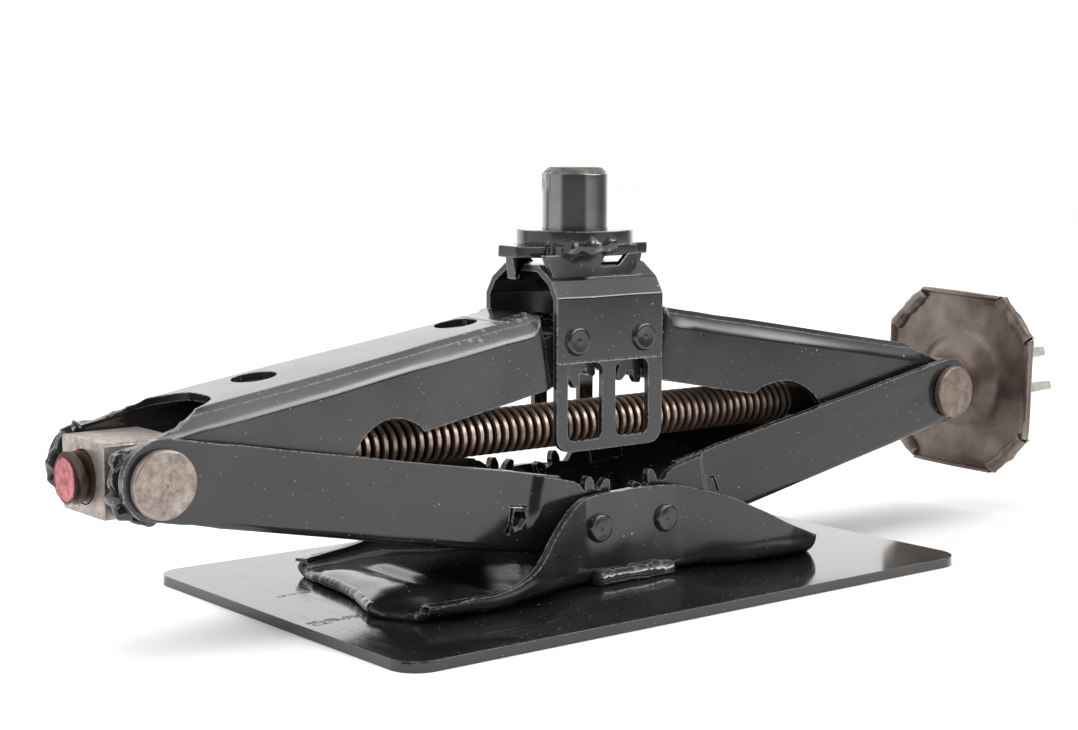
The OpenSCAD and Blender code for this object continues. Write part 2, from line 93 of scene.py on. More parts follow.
def add_camera():
    data = bpy.data.cameras.new("camera")
    camera = linked("camera", data)
    yaw, pitch, roll = (math.radians(a) for a in CAMERA_TURN)
    forward = Vector((math.sin(yaw) * math.cos(pitch), math.cos(yaw) * math.cos(pitch),
                      math.sin(pitch)))
    right = Vector((math.cos(yaw), -math.sin(yaw), 0))
    up = right.cross(forward)
    right, up = (right * math.cos(roll) + up * math.sin(roll),
                 up * math.cos(roll) - right * math.sin(roll))
    camera.matrix_world = Matrix.Translation(CAMERA_AT) @ Matrix(
        (right, up, -forward)).transposed().to_4x4()
    data.sensor_width = 36
    data.lens = CAMERA_LENS
    data.clip_start = 0.01
    scene.camera = camera


add_camera()


def connect(tree, socket, value):
    """Links a node's output to the socket, or sets the socket's own value."""
    if isinstance(value, bpy.types.NodeSocket):
        tree.links.new(value, socket)
    else:
        socket.default_value = value


def tree_node(tree, kind, inputs=None, **settings):
    made = tree.nodes.new(kind)
    for key, value in settings.items():
        setattr(made, key, value)
    for key, value in (inputs or {}).items():
        connect(tree, made.inputs[key], value)
    return made


def node_material(name):
    mat = bpy.data.materials.new(name)
    mat.use_nodes = True
    return mat, mat.node_tree


def add_area(name, where, target, size, energy):
    data = bpy.data.lights.new(name, "AREA")
    data.shape = "RECTANGLE"
    data.size, data.size_y = size
    data.energy = energy
    lamp = linked(name, data)
    lamp.location = where
    lamp.rotation_euler = (Vector(target) - Vector(where)).to_track_quat("-Z", "Y").to_euler()


# Brightness that reflections meet around the object, at azimuths clockwise from +Y and at
# elevations above the horizon, in degrees: soft boxes to both sides, dark toward the camera
GLOW_AZIMUTHS = (0, 70, 92, 112, 122, 131, 140, 150, 165, 178, 186, 262, 274, 318, 334, 345, 360)
GLOW_ROWS = (
    (-10, (1.6, 1.6, 0.5, 0.22, 0.28, 0.38, 0.80, 1.0, 1.1, 1.1, 0.07, 0.07, 1.1, 1.1, 0.2, 1.4, 1.6)),
    (0, (1.6, 1.6, 0.4, 0.15, 0.20, 0.28, 0.50, 0.7, 0.9, 0.9, 0.07, 0.07, 1.1, 1.1, 0.2, 1.4, 1.6)),
    (6, (1.6, 1.6, 0.4, 0.10, 0.12, 0.15, 0.18, 0.2, 0.3, 0.5, 0.06, 0.06, 1.0, 1.0, 0.2, 1.4, 1.6)),
    (19, (1.6, 1.5, 0.3, 0.10, 0.12, 0.15, 0.18, 0.2, 0.3, 0.5, 0.06, 0.06, 0.8, 0.8, 0.2, 1.4, 1.6)),
    (22, (1.6, 1.5, 0.4, 1.6, 8.0, 10.0, 11.0, 11.0, 8.0, 3.0, 0.2, 0.1, 0.8, 0.8, 0.3, 1.4, 1.6)),
    (30, (1.5, 1.3, 0.4, 1.4, 8.0, 10.0, 11.0, 11.0, 8.0, 2.5, 0.3, 0.2, 0.8, 0.8, 0.3, 1.3, 1.5)),
    (34, (1.5, 1.3, 0.3, 0.8, 1.5, 2.0, 2.3, 2.5, 2.4, 2.0, 0.3, 0.2, 0.8, 0.8, 0.3, 1.3, 1.5)),
    (46, (1.2, 0.8, 0.2, 0.6, 1.4, 1.8, 2.1, 2.4, 2.4, 2.0, 0.3, 0.2, 0.8, 0.8, 0.3, 1.0, 1.2)),
    (70, (1.0, 0.8, 0.5, 1.2, 2.0, 2.2, 2.2, 2.2, 2.0, 1.6, 0.6, 0.4, 0.8, 0.8, 0.6, 0.9, 1.0)),
    (80, (0.5, 0.5, 0.5, 0.5, 0.5, 0.5, 0.5, 0.5, 0.5, 0.5, 0.4, 0.4, 0.5, 0.5, 0.5, 0.5, 0.5)),
)


def between(x, xs, ys):
    for a, b, p, q in zip(xs, xs[1:], ys, ys[1:]):
        if x <= b:
            return p + (q - p) * max(0.0, (x - a) / (b - a))
    return ys[-1]


def glow(azimuth, elevation):
    rows = [between(azimuth, GLOW_AZIMUTHS, row) for _, row in GLOW_ROWS]
    return between(elevation, [e for e, _ in GLOW_ROWS], rows)


def add_dome(radius=1.25):
    """A studio dome with soft boxes that only reflections see."""
    verts, faces, values = [], [], []
    across, up = 120, 34
    for j in range(up + 1):
        e = -12 + 101.9 * j / up
        for i in range(across):
            a = 360 * i / across
            ca, sa = math.cos(math.radians(a)), math.sin(math.radians(a))
            ce, se = math.cos(math.radians(e)), math.sin(math.radians(e))
            verts.append((radius * ce * sa, radius * ce * ca, radius * se + 0.08))
            values.append(glow(a, e))
            if j:
                p, q = (j - 1) * across, j * across
                n = (i + 1) % across
                faces.append((p + i, q + i, q + n, p + n))
    mesh = bpy.data.meshes.new("dome")
    mesh.from_pydata(verts, [], faces)
    store = mesh.attributes.new("glow", "FLOAT", "POINT")
    for k, value in enumerate(values):
        store.data[k].value = value
    dome = linked("dome", mesh)
    mat, tree = node_material("dome")
    tree.nodes.clear()
    level = tree_node(tree, "ShaderNodeAttribute", attribute_name="glow")
    light = tree_node(tree, "ShaderNodeEmission", {"Color": (1, 0.985, 0.97, 1),
                                                   "Strength": level.outputs["Fac"]})
    out = tree_node(tree, "ShaderNodeOutputMaterial")
    tree.links.new(light.outputs[0], out.inputs[0])
    dome.data.materials.append(mat)
    for ray in ("visible_camera", "visible_diffuse", "visible_shadow", "visible_transmission"):
        setattr(dome, ray, False)


def add_stage():
    world = bpy.data.worlds.new("studio")
    scene.world = world
    world.use_nodes = True
    sky = world.node_tree.nodes["Background"]
    sky.inputs["Color"].default_value = (1.0, 0.996, 0.994, 1)
    sky.inputs["Strength"].default_value = 1.03

    mesh = bpy.data.meshes.new("floor")
    half = 6.0
    mesh.from_pydata([(-half, -half, 0), (half, -half, 0), (half, half, 0), (-half, half, 0)],
                     [], [(0, 1, 2, 3)])
    floor = linked("floor", mesh)
    mat, tree = node_material("floor")
    bsdf = tree.nodes["Principled BSDF"]
    grain = tree_node(tree, "ShaderNodeTexNoise", {"Scale": 9.0, "Detail": 3.0})
    tint = tree_node(tree, "ShaderNodeValToRGB", {"Fac": grain.outputs[0]})
    tint.color_ramp.elements[0].color = (0.965, 0.955, 0.96, 1)
    tint.color_ramp.elements[1].color = (0.985, 0.975, 0.98, 1)
    tree.links.new(tint.outputs[0], bsdf.inputs["Base Color"])
    bsdf.inputs["Roughness"].default_value = 0.8
    bsdf.inputs["Specular IOR Level"].default_value = 0.0
    floor.data.materials.append(mat)

    add_dome()
    add_area("key_left", (-1.7, 0.35, 1.15), (0, 0, 0.05), (1.3, 1.6), 14)
    add_area("key_right", (1.5, -1.25, 1.0), (0, 0, 0.05), (1.2, 1.4), 4)
    add_area("key_top", (0.1, 0.3, 1.9), (0, 0, 0.0), (2.2, 2.2), 22)
    scene.view_settings.view_transform = "Standard"


add_stage()


# ---- mesh helpers --------------------------------------------------------------------------

def new_object(name, verts, faces):
    """A mesh object from points in millimetres."""
    mesh = bpy.data.meshes.new(name)
    mesh.from_pydata([Vector(v) * MM for v in verts], [], faces)
    obj = linked(name, mesh)
    tidy_mesh(obj)
    return obj


def tidy_mesh(obj, merge=2e-6):
    bm = bmesh.new()
    bm.from_mesh(obj.data)
    bmesh.ops.remove_doubles(bm, verts=bm.verts, dist=merge)
    bmesh.ops.dissolve_degenerate(bm, edges=bm.edges, dist=1e-7)
    bmesh.ops.recalc_face_normals(bm, faces=bm.faces)
    bm.to_mesh(obj.data)
    bm.free()


def loft(name, rings, close=False):
    """A closed solid through rings of equal length, with capped ends unless it closes on itself."""
    n = len(rings[0])
    verts = [p for ring in rings for p in ring]
    faces = []
    spans = len(rings) if close else len(rings) - 1
    for i in range(spans):
        a, b = i * n, ((i + 1) % len(rings)) * n
        for k in range(n):
            m = (k + 1) % n
            faces.append((a + k, a + m, b + m, b + k))
    if not close:
        faces.append(tuple(range(n))[::-1])
        faces.append(tuple((len(rings) - 1) * n + k for k in range(n)))
    return new_object(name, verts, faces)


PLANES = {
    "y": lambda a, b, h: (a, h, b),
    "x": lambda a, b, h: (h, a, b),
    "z": lambda a, b, h: (a, b, h),
}


def prism(name, outline, axis, low, high):
    place = PLANES[axis]
    return loft(name, [[place(a, b, h) for a, b in outline] for h in (low, high)])


def turned(name, profile, axis="z", steps=72, centre=(0, 0, 0)):
    """A closed solid of revolution from a profile of (radius, height) pairs."""
    rings = []
    for k in range(steps):
        a = 2 * math.pi * k / steps
        ring = []
        for r, h in profile:
            u, v = r * math.cos(a), r * math.sin(a)
            ring.append(Vector(PLANES[axis](u, v, h)) + Vector(centre))
        rings.append(ring)
    return loft(name, rings, close=True)


def applied(obj):
    graph = bpy.context.evaluated_depsgraph_get()
    mesh = bpy.data.meshes.new_from_object(obj.evaluated_get(graph))
    old = obj.data
    obj.modifiers.clear()
    obj.data = mesh
    bpy.data.meshes.remove(old)
    return obj


def add_modifier(obj, kind, **settings):
    mod = obj.modifiers.new(kind.lower(), kind)
    for key, value in settings.items():
        setattr(mod, key, value)
    return obj


def cut(obj, cutters, operation="DIFFERENCE"):
    for cutter in cutters:
        applied(add_modifier(obj, "BOOLEAN", operation=operation, solver="EXACT", object=cutter))
        bpy.data.objects.remove(cutter)
    return obj


def rounded(obj, width=0.5, segments=2, angle=32):
    """Rounds every sharp edge by width millimetres."""
    tidy_mesh(obj)
    return applied(add_modifier(obj, "BEVEL", width=width * MM, segments=segments,
                                limit_method="ANGLE", angle_limit=math.radians(angle),
                                miter_outer="MITER_ARC"))


def roughen(obj, amount, size, where=None):
    """Moves each vertex by smooth noise of that amount and size, in millimetres."""
    offset = Vector((random.uniform(0, 50), random.uniform(0, 50), random.uniform(0, 50)))
    for v in obj.data.vertices:
        weight = where(v.co / MM) if where else 1
        if weight > 0:
            v.co += noise.noise_vector(v.co / (size * MM) + offset) * amount * MM * weight
    return obj


def kept_above(obj, z):
    """Lifts to z millimetres every vertex that lies lower."""
    for v in obj.data.vertices:
        v.co.z = max(v.co.z, z * MM)


def shade(obj, angle=38):
    for p in obj.data.polygons:
        p.use_smooth = True
    obj.data.set_sharp_from_angle(angle=math.radians(angle))
    return applied(add_modifier(obj, "WEIGHTED_NORMAL", keep_sharp=True))


def placed(obj, matrix):
    obj.data.transform(matrix)
    if matrix.determinant() < 0:
        obj.data.flip_normals()
    return obj


def piece(obj, body, nodes, material, angle=38):
    shade(obj, angle)
    obj.data.materials.clear()
    obj.data.materials.append(material)
    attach(obj, body)
    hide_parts(*nodes)
    return obj


def arc(cx, cy, r, a0, a1, steps):
    """Points on an arc from a0 to a1 degrees."""
    return [(cx + r * math.cos(math.radians(a0 + (a1 - a0) * i / steps)),
             cy + r * math.sin(math.radians(a0 + (a1 - a0) * i / steps)))
            for i in range(steps + 1)]


def smooth(t):
    t = max(0.0, min(1.0, t))
    return t * t * (3 - 2 * t)


def filleted(points, radii, steps=6):
    """A polyline whose inner corners are rounded."""
    out = [points[0]]
    for i in range(1, len(points) - 1):
        p, q, r = (Vector(points[k]) for k in (i - 1, i, i + 1))
        radius = radii[i - 1] if isinstance(radii, (list, tuple)) else radii
        u, w = (p - q).normalized(), (r - q).normalized()
        half = u.angle(w) / 2
        if radius < 1e-3 or half > math.radians(88):
            out.append(tuple(q))
            continue
        reach = min(radius / math.tan(half), 0.48 * (p - q).length, 0.48 * (r - q).length)
        a, b = q + u * reach, q + w * reach
        for k in range(steps + 1):
            t = k / steps
            out.append(tuple(a * (1 - t) ** 2 + q * 2 * t * (1 - t) + b * t * t))
    out.append(points[-1])
    return out


def offset_line(points, d):
    """The polyline moved by d to its left side."""
    out = []
    for i, p in enumerate(points):
        p = Vector(p)
        before = (p - Vector(points[i - 1])).normalized() if i else None
        after = (Vector(points[i + 1]) - p).normalized() if i + 1 < len(points) else None
        normals = [Vector((-t.y, t.x)) for t in (before, after) if t]
        n = sum(normals, Vector((0, 0))).normalized()
        out.append(tuple(p + n * d / max(0.3, n.dot(normals[0]))))
    return out


def rounded_rect(x0, x1, z0, z1, r, steps=5):
    return (arc(x1 - r, z1 - r, r, 0, 90, steps) + arc(x0 + r, z1 - r, r, 90, 180, steps)
            + arc(x0 + r, z0 + r, r, 180, 270, steps) + arc(x1 - r, z0 + r, r, 270, 360, steps))


# ---- materials -----------------------------------------------------------------------------

class Look:
    """A procedural material on the Principled shader, built one layer at a time."""

    def __init__(self, name):
        self.mat, self.tree = node_material(name)
        self.bsdf = self.tree.nodes["Principled BSDF"]
        self.where = tree_node(self.tree, "ShaderNodeTexCoord").outputs["Object"]
        self.height = None

    def add(self, kind, inputs=None, **settings):
        return tree_node(self.tree, kind, inputs, **settings)

    def math(self, operation, a, b=0.0):
        return self.add("ShaderNodeMath", {0: a, 1: b}, operation=operation).outputs[0]

    def axes(self):
        """The object's own x, y and z, in metres."""
        return self.add("ShaderNodeSeparateXYZ", {0: self.where}).outputs

    def noise(self, scale, detail=4.0, roughness=0.55, stretch=None):
        where = self.where
        if stretch:
            where = self.add("ShaderNodeMapping", {"Vector": where, "Scale": stretch}).outputs[0]
        return self.add("ShaderNodeTexNoise", {"Vector": where, "Scale": scale, "Detail": detail,
                                               "Roughness": roughness}).outputs[0]

    def ramp(self, factor, *stops):
        made = self.add("ShaderNodeValToRGB", {"Fac": factor})
        elements = made.color_ramp.elements
        while len(elements) < len(stops):
            elements.new(0.5)
        for element, (place, color) in zip(elements, stops):
            element.position = place
            element.color = (*color, 1)
        return made.outputs[0]

    def level(self, factor, low, high):
        """0 below low and 1 above high."""
        return self.add("ShaderNodeMapRange", {0: factor, 1: low, 2: high}).outputs[0]

    def span(self, factor, low, high):
        return self.add("ShaderNodeMapRange", {0: factor, 3: low, 4: high}).outputs[0]

    def mix(self, factor, a, b):
        a, b = (c if isinstance(c, bpy.types.NodeSocket) else (*c, 1) for c in (a, b))
        return self.add("ShaderNodeMix", {0: factor, 6: a, 7: b}, data_type="RGBA").outputs[2]

    def blend(self, factor, a, b):
        return self.add("ShaderNodeMix", {0: factor, 2: a, 3: b}, data_type="FLOAT").outputs[0]

    def specks(self, scale, size, share):
        """Round specks: cells of a Voronoi pattern, a share of which are filled."""
        cells = self.add("ShaderNodeTexVoronoi", {"Vector": self.where, "Scale": scale})
        near = self.math("LESS_THAN", cells.outputs["Distance"], size)
        picked = self.add("ShaderNodeSeparateColor", {0: cells.outputs["Color"]}).outputs[0]
        return self.math("MULTIPLY", near, self.math("GREATER_THAN", picked, 1 - share))

    def edges(self, radius, low=0.02, high=0.12):
        """1 on convex and concave edges, from the difference of the rounded normal."""
        bevel = self.add("ShaderNodeBevel", {"Radius": radius * MM}, samples=4)
        flat = self.add("ShaderNodeNewGeometry").outputs["Normal"]
        dot = self.add("ShaderNodeVectorMath", {0: bevel.outputs[0], 1: flat},
                       operation="DOT_PRODUCT").outputs["Value"]
        return self.level(self.math("SUBTRACT", 1.0, dot), low, high)

    def bump(self, height, distance, strength=0.5):
        inputs = {"Height": height, "Distance": distance * MM, "Strength": strength}
        if self.height is not None:
            inputs["Normal"] = self.height
        self.height = self.add("ShaderNodeBump", inputs).outputs[0]

    def finish(self, color, roughness, metallic=0.0, **sockets):
        values = {"Base Color": color, "Roughness": roughness, "Metallic": metallic}
        values.update({key.replace("_", " "): value for key, value in sockets.items()})
        if self.height is not None:
            values["Normal"] = self.height
        for key, value in values.items():
            connect(self.tree, self.bsdf.inputs[key], value)
        return self.mat


def black_paint(name, dust=0.25, wear_and_sheen_amount=0.9, rough=0.20, coat=0.35, scrapes=None, patches=None):
    """Gloss black paint with orange peel, dust film, specks, and edges lightened both as rubbed wear
    and as a painted highlight.
    """
    k = Look(name)
    film = k.level(k.noise(26, 5), 0.42, 0.72)
    color = k.mix(k.math("MULTIPLY", film, dust), (0.011, 0.0105, 0.0115), (0.075, 0.068, 0.064))
    fine = k.specks(900, 0.16, 0.05)
    coarse = k.specks(230, 0.09, 0.03)
    speck = k.math("MAXIMUM", fine, coarse)
    color = k.mix(speck, color, (0.42, 0.41, 0.39))
    grit = k.level(k.noise(700, 2), 0.35, 0.6)
    # Edges lightened to grey: partly rubbed-through paint, partly a painted highlight along the edges
    edge_wear_and_highlight = k.math("MULTIPLY", k.edges(0.9), k.math("MULTIPLY", grit, wear_and_sheen_amount))
    color = k.mix(edge_wear_and_highlight, color, (0.34, 0.33, 0.32))
    roughness = k.blend(film, rough * 0.8, rough * 1.5)
    roughness = k.blend(k.math("MAXIMUM", speck, edge_wear_and_highlight), roughness, 0.6)
    if scrapes:
        axes = k.axes()
        lines = k.noise(70, 6, 0.7, stretch=(9.0, 0.6, 1.0))
        for x0, x1, y0, width, depth in scrapes:
            across = k.math("SUBTRACT", axes[1],
                            k.math("ADD", k.math("MULTIPLY", k.noise(45, 3), 0.006),
                                   (y0 - 3) * MM))
            near = k.math("LESS_THAN", k.math("ABSOLUTE", across), width * MM)
            for op, limit in (("GREATER_THAN", x0), ("LESS_THAN", x1)):
                near = k.math("MULTIPLY", near, k.math(op, axes[0], limit * MM))
            chips = k.math("MULTIPLY", near, k.level(k.noise(420, 4, 0.7), 0.49, 0.53))
            color = k.mix(k.math("MULTIPLY", chips, depth), color, (0.003, 0.003, 0.003))
            roughness = k.blend(chips, roughness, 0.75)
            k.bump(chips, -0.2, 0.7)
        brushed = k.math("MULTIPLY", k.level(lines, 0.50, 0.66),
                         k.level(axes[0], -0.096, -0.112))
        roughness = k.blend(k.math("MULTIPLY", brushed, 0.5), roughness, 0.34)
        k.bump(brushed, 0.03, 0.25)
    if patches:
        for x0, x1, y0, y1, z0, z1 in patches:
            axes = k.axes()
            inside = None
            for socket, low, high in ((0, x0, x1), (1, y0, y1), (2, z0, z1)):
                for op, limit in (("GREATER_THAN", low), ("LESS_THAN", high)):
                    test = k.math(op, axes[socket], limit * MM)
                    inside = test if inside is None else k.math("MULTIPLY", inside, test)
            crumbs = k.level(k.noise(430, 5, 0.75), 0.52, 0.60)
            worn_off = k.math("MULTIPLY", inside, crumbs)
            color = k.mix(worn_off, color, (0.24, 0.23, 0.22))
            roughness = k.blend(worn_off, roughness, 0.5)
            k.bump(worn_off, -0.25, 0.7)
    k.bump(k.noise(160, 3), 0.03, 0.5)
    k.bump(speck, 0.15, 0.5)
    return k.finish(color, roughness, Coat_Weight=coat, Coat_Roughness=0.12)


def bare_steel(name, light=(0.40, 0.345, 0.30), dark=(0.20, 0.17, 0.147), rough=0.42, dab=None):
    """Bare steel with grey mottling, pits and faint rust."""
    k = Look(name)
    cloud = k.level(k.noise(300, 6, 0.7), 0.36, 0.64)
    color = k.mix(cloud, dark, light)
    rust = k.math("MULTIPLY", k.level(k.noise(70, 5, 0.7), 0.55, 0.72), 0.5)
    color = k.mix(rust, color, (0.30, 0.19, 0.12))
    pits = k.specks(1300, 0.22, 0.12)
    color = k.mix(pits, color, (0.09, 0.08, 0.075))
    if dab:
        shift = k.add("ShaderNodeVectorMath", {0: k.where, 1: Vector(dab) * MM},
                      operation="DISTANCE").outputs["Value"]
        shift = k.math("ADD", shift, k.math("MULTIPLY", k.noise(520, 3), 0.003))
        color = k.mix(k.level(shift, 0.0033, 0.0028), color, (0.36, 0.05, 0.06))
    roughness = k.blend(cloud, rough * 1.2, rough * 0.8)
    k.bump(k.noise(900, 4, 0.6), 0.03, 0.4)
    k.bump(pits, -0.1, 0.5)
    return k.finish(color, roughness, 0.75)


def screw_steel(name):
    """Lead screw: bronze crests with a painted highlight, grooves dark with grease and painted shade;
    red paint on its free end.
    """
    k = Look(name)
    axes = k.axes()
    y2 = k.math("POWER", axes[1], 2.0)
    dz = k.math("SUBTRACT", axes[2], TRUNNION_Z * MM)
    radius = k.math("SQRT", k.math("ADD", y2, k.math("POWER", dz, 2.0)))
    # Colour set by radius: crests lightened as a painted highlight, grooves darkened as painted shade
    # over their grease
    crest_light_groove_shade = k.level(radius, 0.0070, 0.00885)
    streak = k.noise(420, 5, 0.7, stretch=(2.5, 0.8, 0.8))
    base = k.ramp(crest_light_groove_shade, (0.0, (0.022, 0.016, 0.013)), (0.45, (0.11, 0.072, 0.052)),
                  (0.82, (0.50, 0.35, 0.26)), (1.0, (0.60, 0.47, 0.38)))
    color = k.mix(k.level(streak, 0.42, 0.62), k.mix(0.45, base, (0.05, 0.035, 0.025)), base)
    plain = k.level(axes[0], 0.1152, 0.1162)
    color = k.mix(plain, color, (0.030, 0.027, 0.026))
    rusty = k.math("LESS_THAN", axes[0], -0.2125)
    color = k.mix(rusty, color, k.mix(k.noise(420, 4), (0.04, 0.024, 0.02), (0.13, 0.08, 0.068)))
    ragged = k.math("ADD", radius, k.math("MULTIPLY", k.noise(260, 4), 0.0035))
    tip = k.math("MULTIPLY", k.math("LESS_THAN", axes[0], -0.21895),
                 k.math("LESS_THAN", ragged, 0.0092))
    blotch = k.level(k.noise(330, 5, 0.7), 0.38, 0.60)
    red = k.mix(blotch, (0.17, 0.045, 0.045), (0.50, 0.13, 0.14))
    color = k.mix(tip, color, red)
    roughness = k.blend(crest_light_groove_shade, 0.62, 0.42)
    roughness = k.blend(tip, roughness, 0.55)
    metal = k.blend(tip, k.blend(plain, 0.85, 0.5), 0.0)
    k.bump(streak, 0.05, 0.5)
    return k.finish(color, roughness, metal)


def wheel_steel(name):
    """Passivated pressed steel with brown, pink and grey clouds, and edges lightened both as rubbed
    wear and as a painted highlight.
    """
    k = Look(name)
    cloud = k.noise(30, 5, 0.6)
    color = k.ramp(cloud, (0.30, (0.070, 0.054, 0.046)), (0.45, (0.138, 0.112, 0.095)),
                   (0.56, (0.205, 0.175, 0.150)), (0.70, (0.185, 0.172, 0.168)))
    stain = k.level(k.noise(62, 4, 0.7), 0.56, 0.70)
    color = k.mix(k.math("MULTIPLY", stain, 0.8), color, (0.22, 0.130, 0.085))
    pale = k.level(k.noise(44, 4, 0.6), 0.58, 0.72)
    color = k.mix(k.math("MULTIPLY", pale, 0.5), color, (0.29, 0.26, 0.23))
    # Edges lightened: partly rubbed wear, partly a painted highlight on the rim and hems
    edge_wear_and_highlight = k.math("MULTIPLY", k.edges(1.0), 0.8)
    color = k.mix(edge_wear_and_highlight, color, (0.42, 0.35, 0.30))
    fleck = k.specks(420, 0.14, 0.06)
    color = k.mix(fleck, color, (0.42, 0.38, 0.34))
    roughness = k.span(cloud, 0.28, 0.48)
    k.bump(k.noise(240, 4), 0.04, 0.3)
    return k.finish(color, roughness, 0.72)


def zinc(name):
    """Dull greenish zinc plate."""
    k = Look(name)
    cloud = k.noise(180, 4, 0.6)
    color = k.ramp(cloud, (0.35, (0.30, 0.30, 0.25)), (0.6, (0.44, 0.44, 0.37)))
    k.bump(k.noise(500, 3), 0.03, 0.4)
    return k.finish(color, k.span(cloud, 0.42, 0.6), 0.2)


def blackened(name, top_z):
    """Blackened bright bar, rubbed bare on its chamfer and top face."""
    k = Look(name)
    axes = k.axes()
    edge = k.math("ADD", axes[2], k.math("MULTIPLY", k.noise(140, 4), 0.0012))
    bare = k.level(edge, (top_z - 1.6) * MM, (top_z - 1.3) * MM)
    steel = k.ramp(k.noise(380, 5, 0.7), (0.35, (0.10, 0.092, 0.08)), (0.62, (0.24, 0.22, 0.19)))
    dark = k.mix(k.level(k.noise(90, 4), 0.4, 0.7), (0.21, 0.205, 0.215), (0.26, 0.252, 0.258))
    dark = k.mix(k.specks(500, 0.14, 0.04), dark, (0.5, 0.49, 0.47))
    color = k.mix(bare, dark, steel)
    k.bump(k.noise(90, 2), 0.02, 0.3)
    return k.finish(color, k.blend(bare, 0.16, 0.5), 0.9)


def weld_look(name):
    """Painted weld: glossy lumps whose crests have lost their paint."""
    k = Look(name)
    spatter = k.level(k.noise(170, 5, 0.7), 0.58, 0.68)
    color = k.mix(k.math("MULTIPLY", spatter, 0.5), (0.022, 0.020, 0.020), (0.30, 0.28, 0.26))
    k.bump(k.noise(150, 2), 0.12, 0.6)
    return k.finish(color, k.blend(spatter, 0.16, 0.4), 0.1, Coat_Weight=0.5)


PAINT = black_paint("paint_gloss")
PAINT_PLATE = black_paint("paint_plate", dust=0.10, wear_and_sheen_amount=0.35, rough=0.10, scrapes=[
    (-139, -104, -22.5, 3.0, 1.0), (-126, -112, 21, 1.4, 1.0), (-100, -60, -70, 0.4, 0.6)])
STEEL = bare_steel("steel_bare")
STEEL_WARM = bare_steel("steel_warm", (0.26, 0.205, 0.17), (0.14, 0.11, 0.092))
STEEL_DARK = bare_steel("steel_dark", (0.26, 0.225, 0.195), (0.11, 0.095, 0.085))
STEEL_DAB = bare_steel("steel_block", (0.42, 0.375, 0.345), (0.24, 0.21, 0.19),
                       dab=(-TRUNNION_X - 14, 3.4, TRUNNION_Z + 8.2))
SCREW = screw_steel("steel_screw")
WHEEL = wheel_steel("steel_wheel")
ZINC = zinc("zinc_plate")
WELD = weld_look("weld_bead")


# ---- arms ----------------------------------------------------------------------------------

SHEET = 3.0
GEAR_TEETH = 12
TIP_R = PIVOT_X + 0.74 * 2 * PIVOT_X / GEAR_TEETH
ROOT_R = PIVOT_X - 2 * PIVOT_X / GEAR_TEETH
PRESSURE = math.radians(25)
BASE_R = PIVOT_X * math.cos(PRESSURE)
# Degrees of the teeth above the line that joins the two pivots
TEETH_A = (-11, 19, 49, 79)
TEETH_B = (-26, 4, 34, 64, 94)
VALLEY = 66


def involute(a):
    return math.tan(a) - a


def tooth_half(r):
    """Half the angle that a tooth takes at radius r, in degrees."""
    pitch = 90 / GEAR_TEETH - math.degrees(0.25 / PIVOT_X)
    return pitch + math.degrees(involute(PRESSURE) - involute(math.acos(min(1, BASE_R / r))))


def gear_edge(teeth):
    """The toothed end of an arm's outline, from its open edge round to its web side."""
    out = [(ROOT_R, VALLEY)]
    for centre in sorted(180 - math.degrees(REST) - t for t in teeth):
        radii = [BASE_R + (TIP_R - BASE_R) * i / 4 for i in range(5)]
        flank = [(ROOT_R, tooth_half(BASE_R))] + [(r, tooth_half(r)) for r in radii]
        out += [(r, centre - h) for r, h in flank] + [(r, centre + h) for r, h in flank[::-1]]
        out.append((ROOT_R, centre + 15))
    while out[-1][1] < 280:
        out.append((ROOT_R, out[-1][1] + 8))
    clean = [out[0]] + [b for a, b in zip(out, out[1:]) if b[1] > a[1] + 0.05 or b[0] != a[0]]
    return [(r * math.cos(math.radians(a)), r * math.sin(math.radians(a))) for r, a in clean]


def arm_outline(teeth, web, edge, end_r, relief=None, ragged=0.0):
    """Side outline of an arm: pivot at the origin, trunnion at (ARM_LEN, 0), web below."""
    end = []
    for x, z in arc(0, 0, end_r, -72, 78, 22):
        depth = web(ARM_LEN) if z < 0 else edge(ARM_LEN)
        wobble = ragged * noise.noise(Vector((x * 0.33, z * 0.33, 7.0)))
        end.append((ARM_LEN + x + wobble, z * depth / end_r + wobble))
    top = [(s, edge(s)) for s in (ARM_LEN, 160, 130, 112)]
    if relief:
        s0, n0, r = relief
        spread = math.degrees(math.acos((n0 - edge(s0)) / r))
        top += arc(s0, n0, r, spread - 90, -90 - spread, 18)
    else:
        top += [(90, edge(90))]
    top += [(66, edge(66)), (40, edge(40)), (12, edge(12) - 0.2), (8.6, edge(8) - 1.4),
            (7.0, edge(8) - 3.0)]
    bottom = [(5, -web(5)), (60, -web(60)), (110, -web(110)), (158, -web(158)),
              (171, -web(171) + 0.8)]
    return bottom + end + top + gear_edge(teeth)


def channel_ring(s, half_w, web, corner, inner_r, levels, top=32):
    """A closed channel section at station s: outer wall, web, outer wall, then the inside."""
    wall = [(half_w + extra, m) for m, extra in levels]
    outer = [(wall[0][0], top)] + wall + [(half_w + dy, dm - web) for dy, dm in corner]
    inner_y = half_w - SHEET
    bend = arc(inner_y - inner_r, SHEET - web + inner_r, inner_r, 0, -90, 5)
    inner = ([(wall[0][0] - SHEET, top)]
             + [(inner_y + extra, m) for m, extra in levels] + bend)
    ring = outer + [(-y, m) for y, m in outer[::-1]]
    ring += [(-y, m) for y, m in inner] + inner[::-1]
    return [(s, y, m) for y, m in ring]


def at(s, table):
    """Piecewise-linear value at s from (s, value) pairs."""
    for (s0, v0), (s1, v1) in zip(table, table[1:]):
        if s <= s1:
            return v0 + (v1 - v0) * max(0.0, (s - s0) / (s1 - s0))
    return table[-1][1]


def lower_corner(s):
    r = 0.6 + 2.8 * smooth((s - 14) / 14)
    return arc(-r, r, r, 0, -90, 7), max(0.4, r - SHEET)


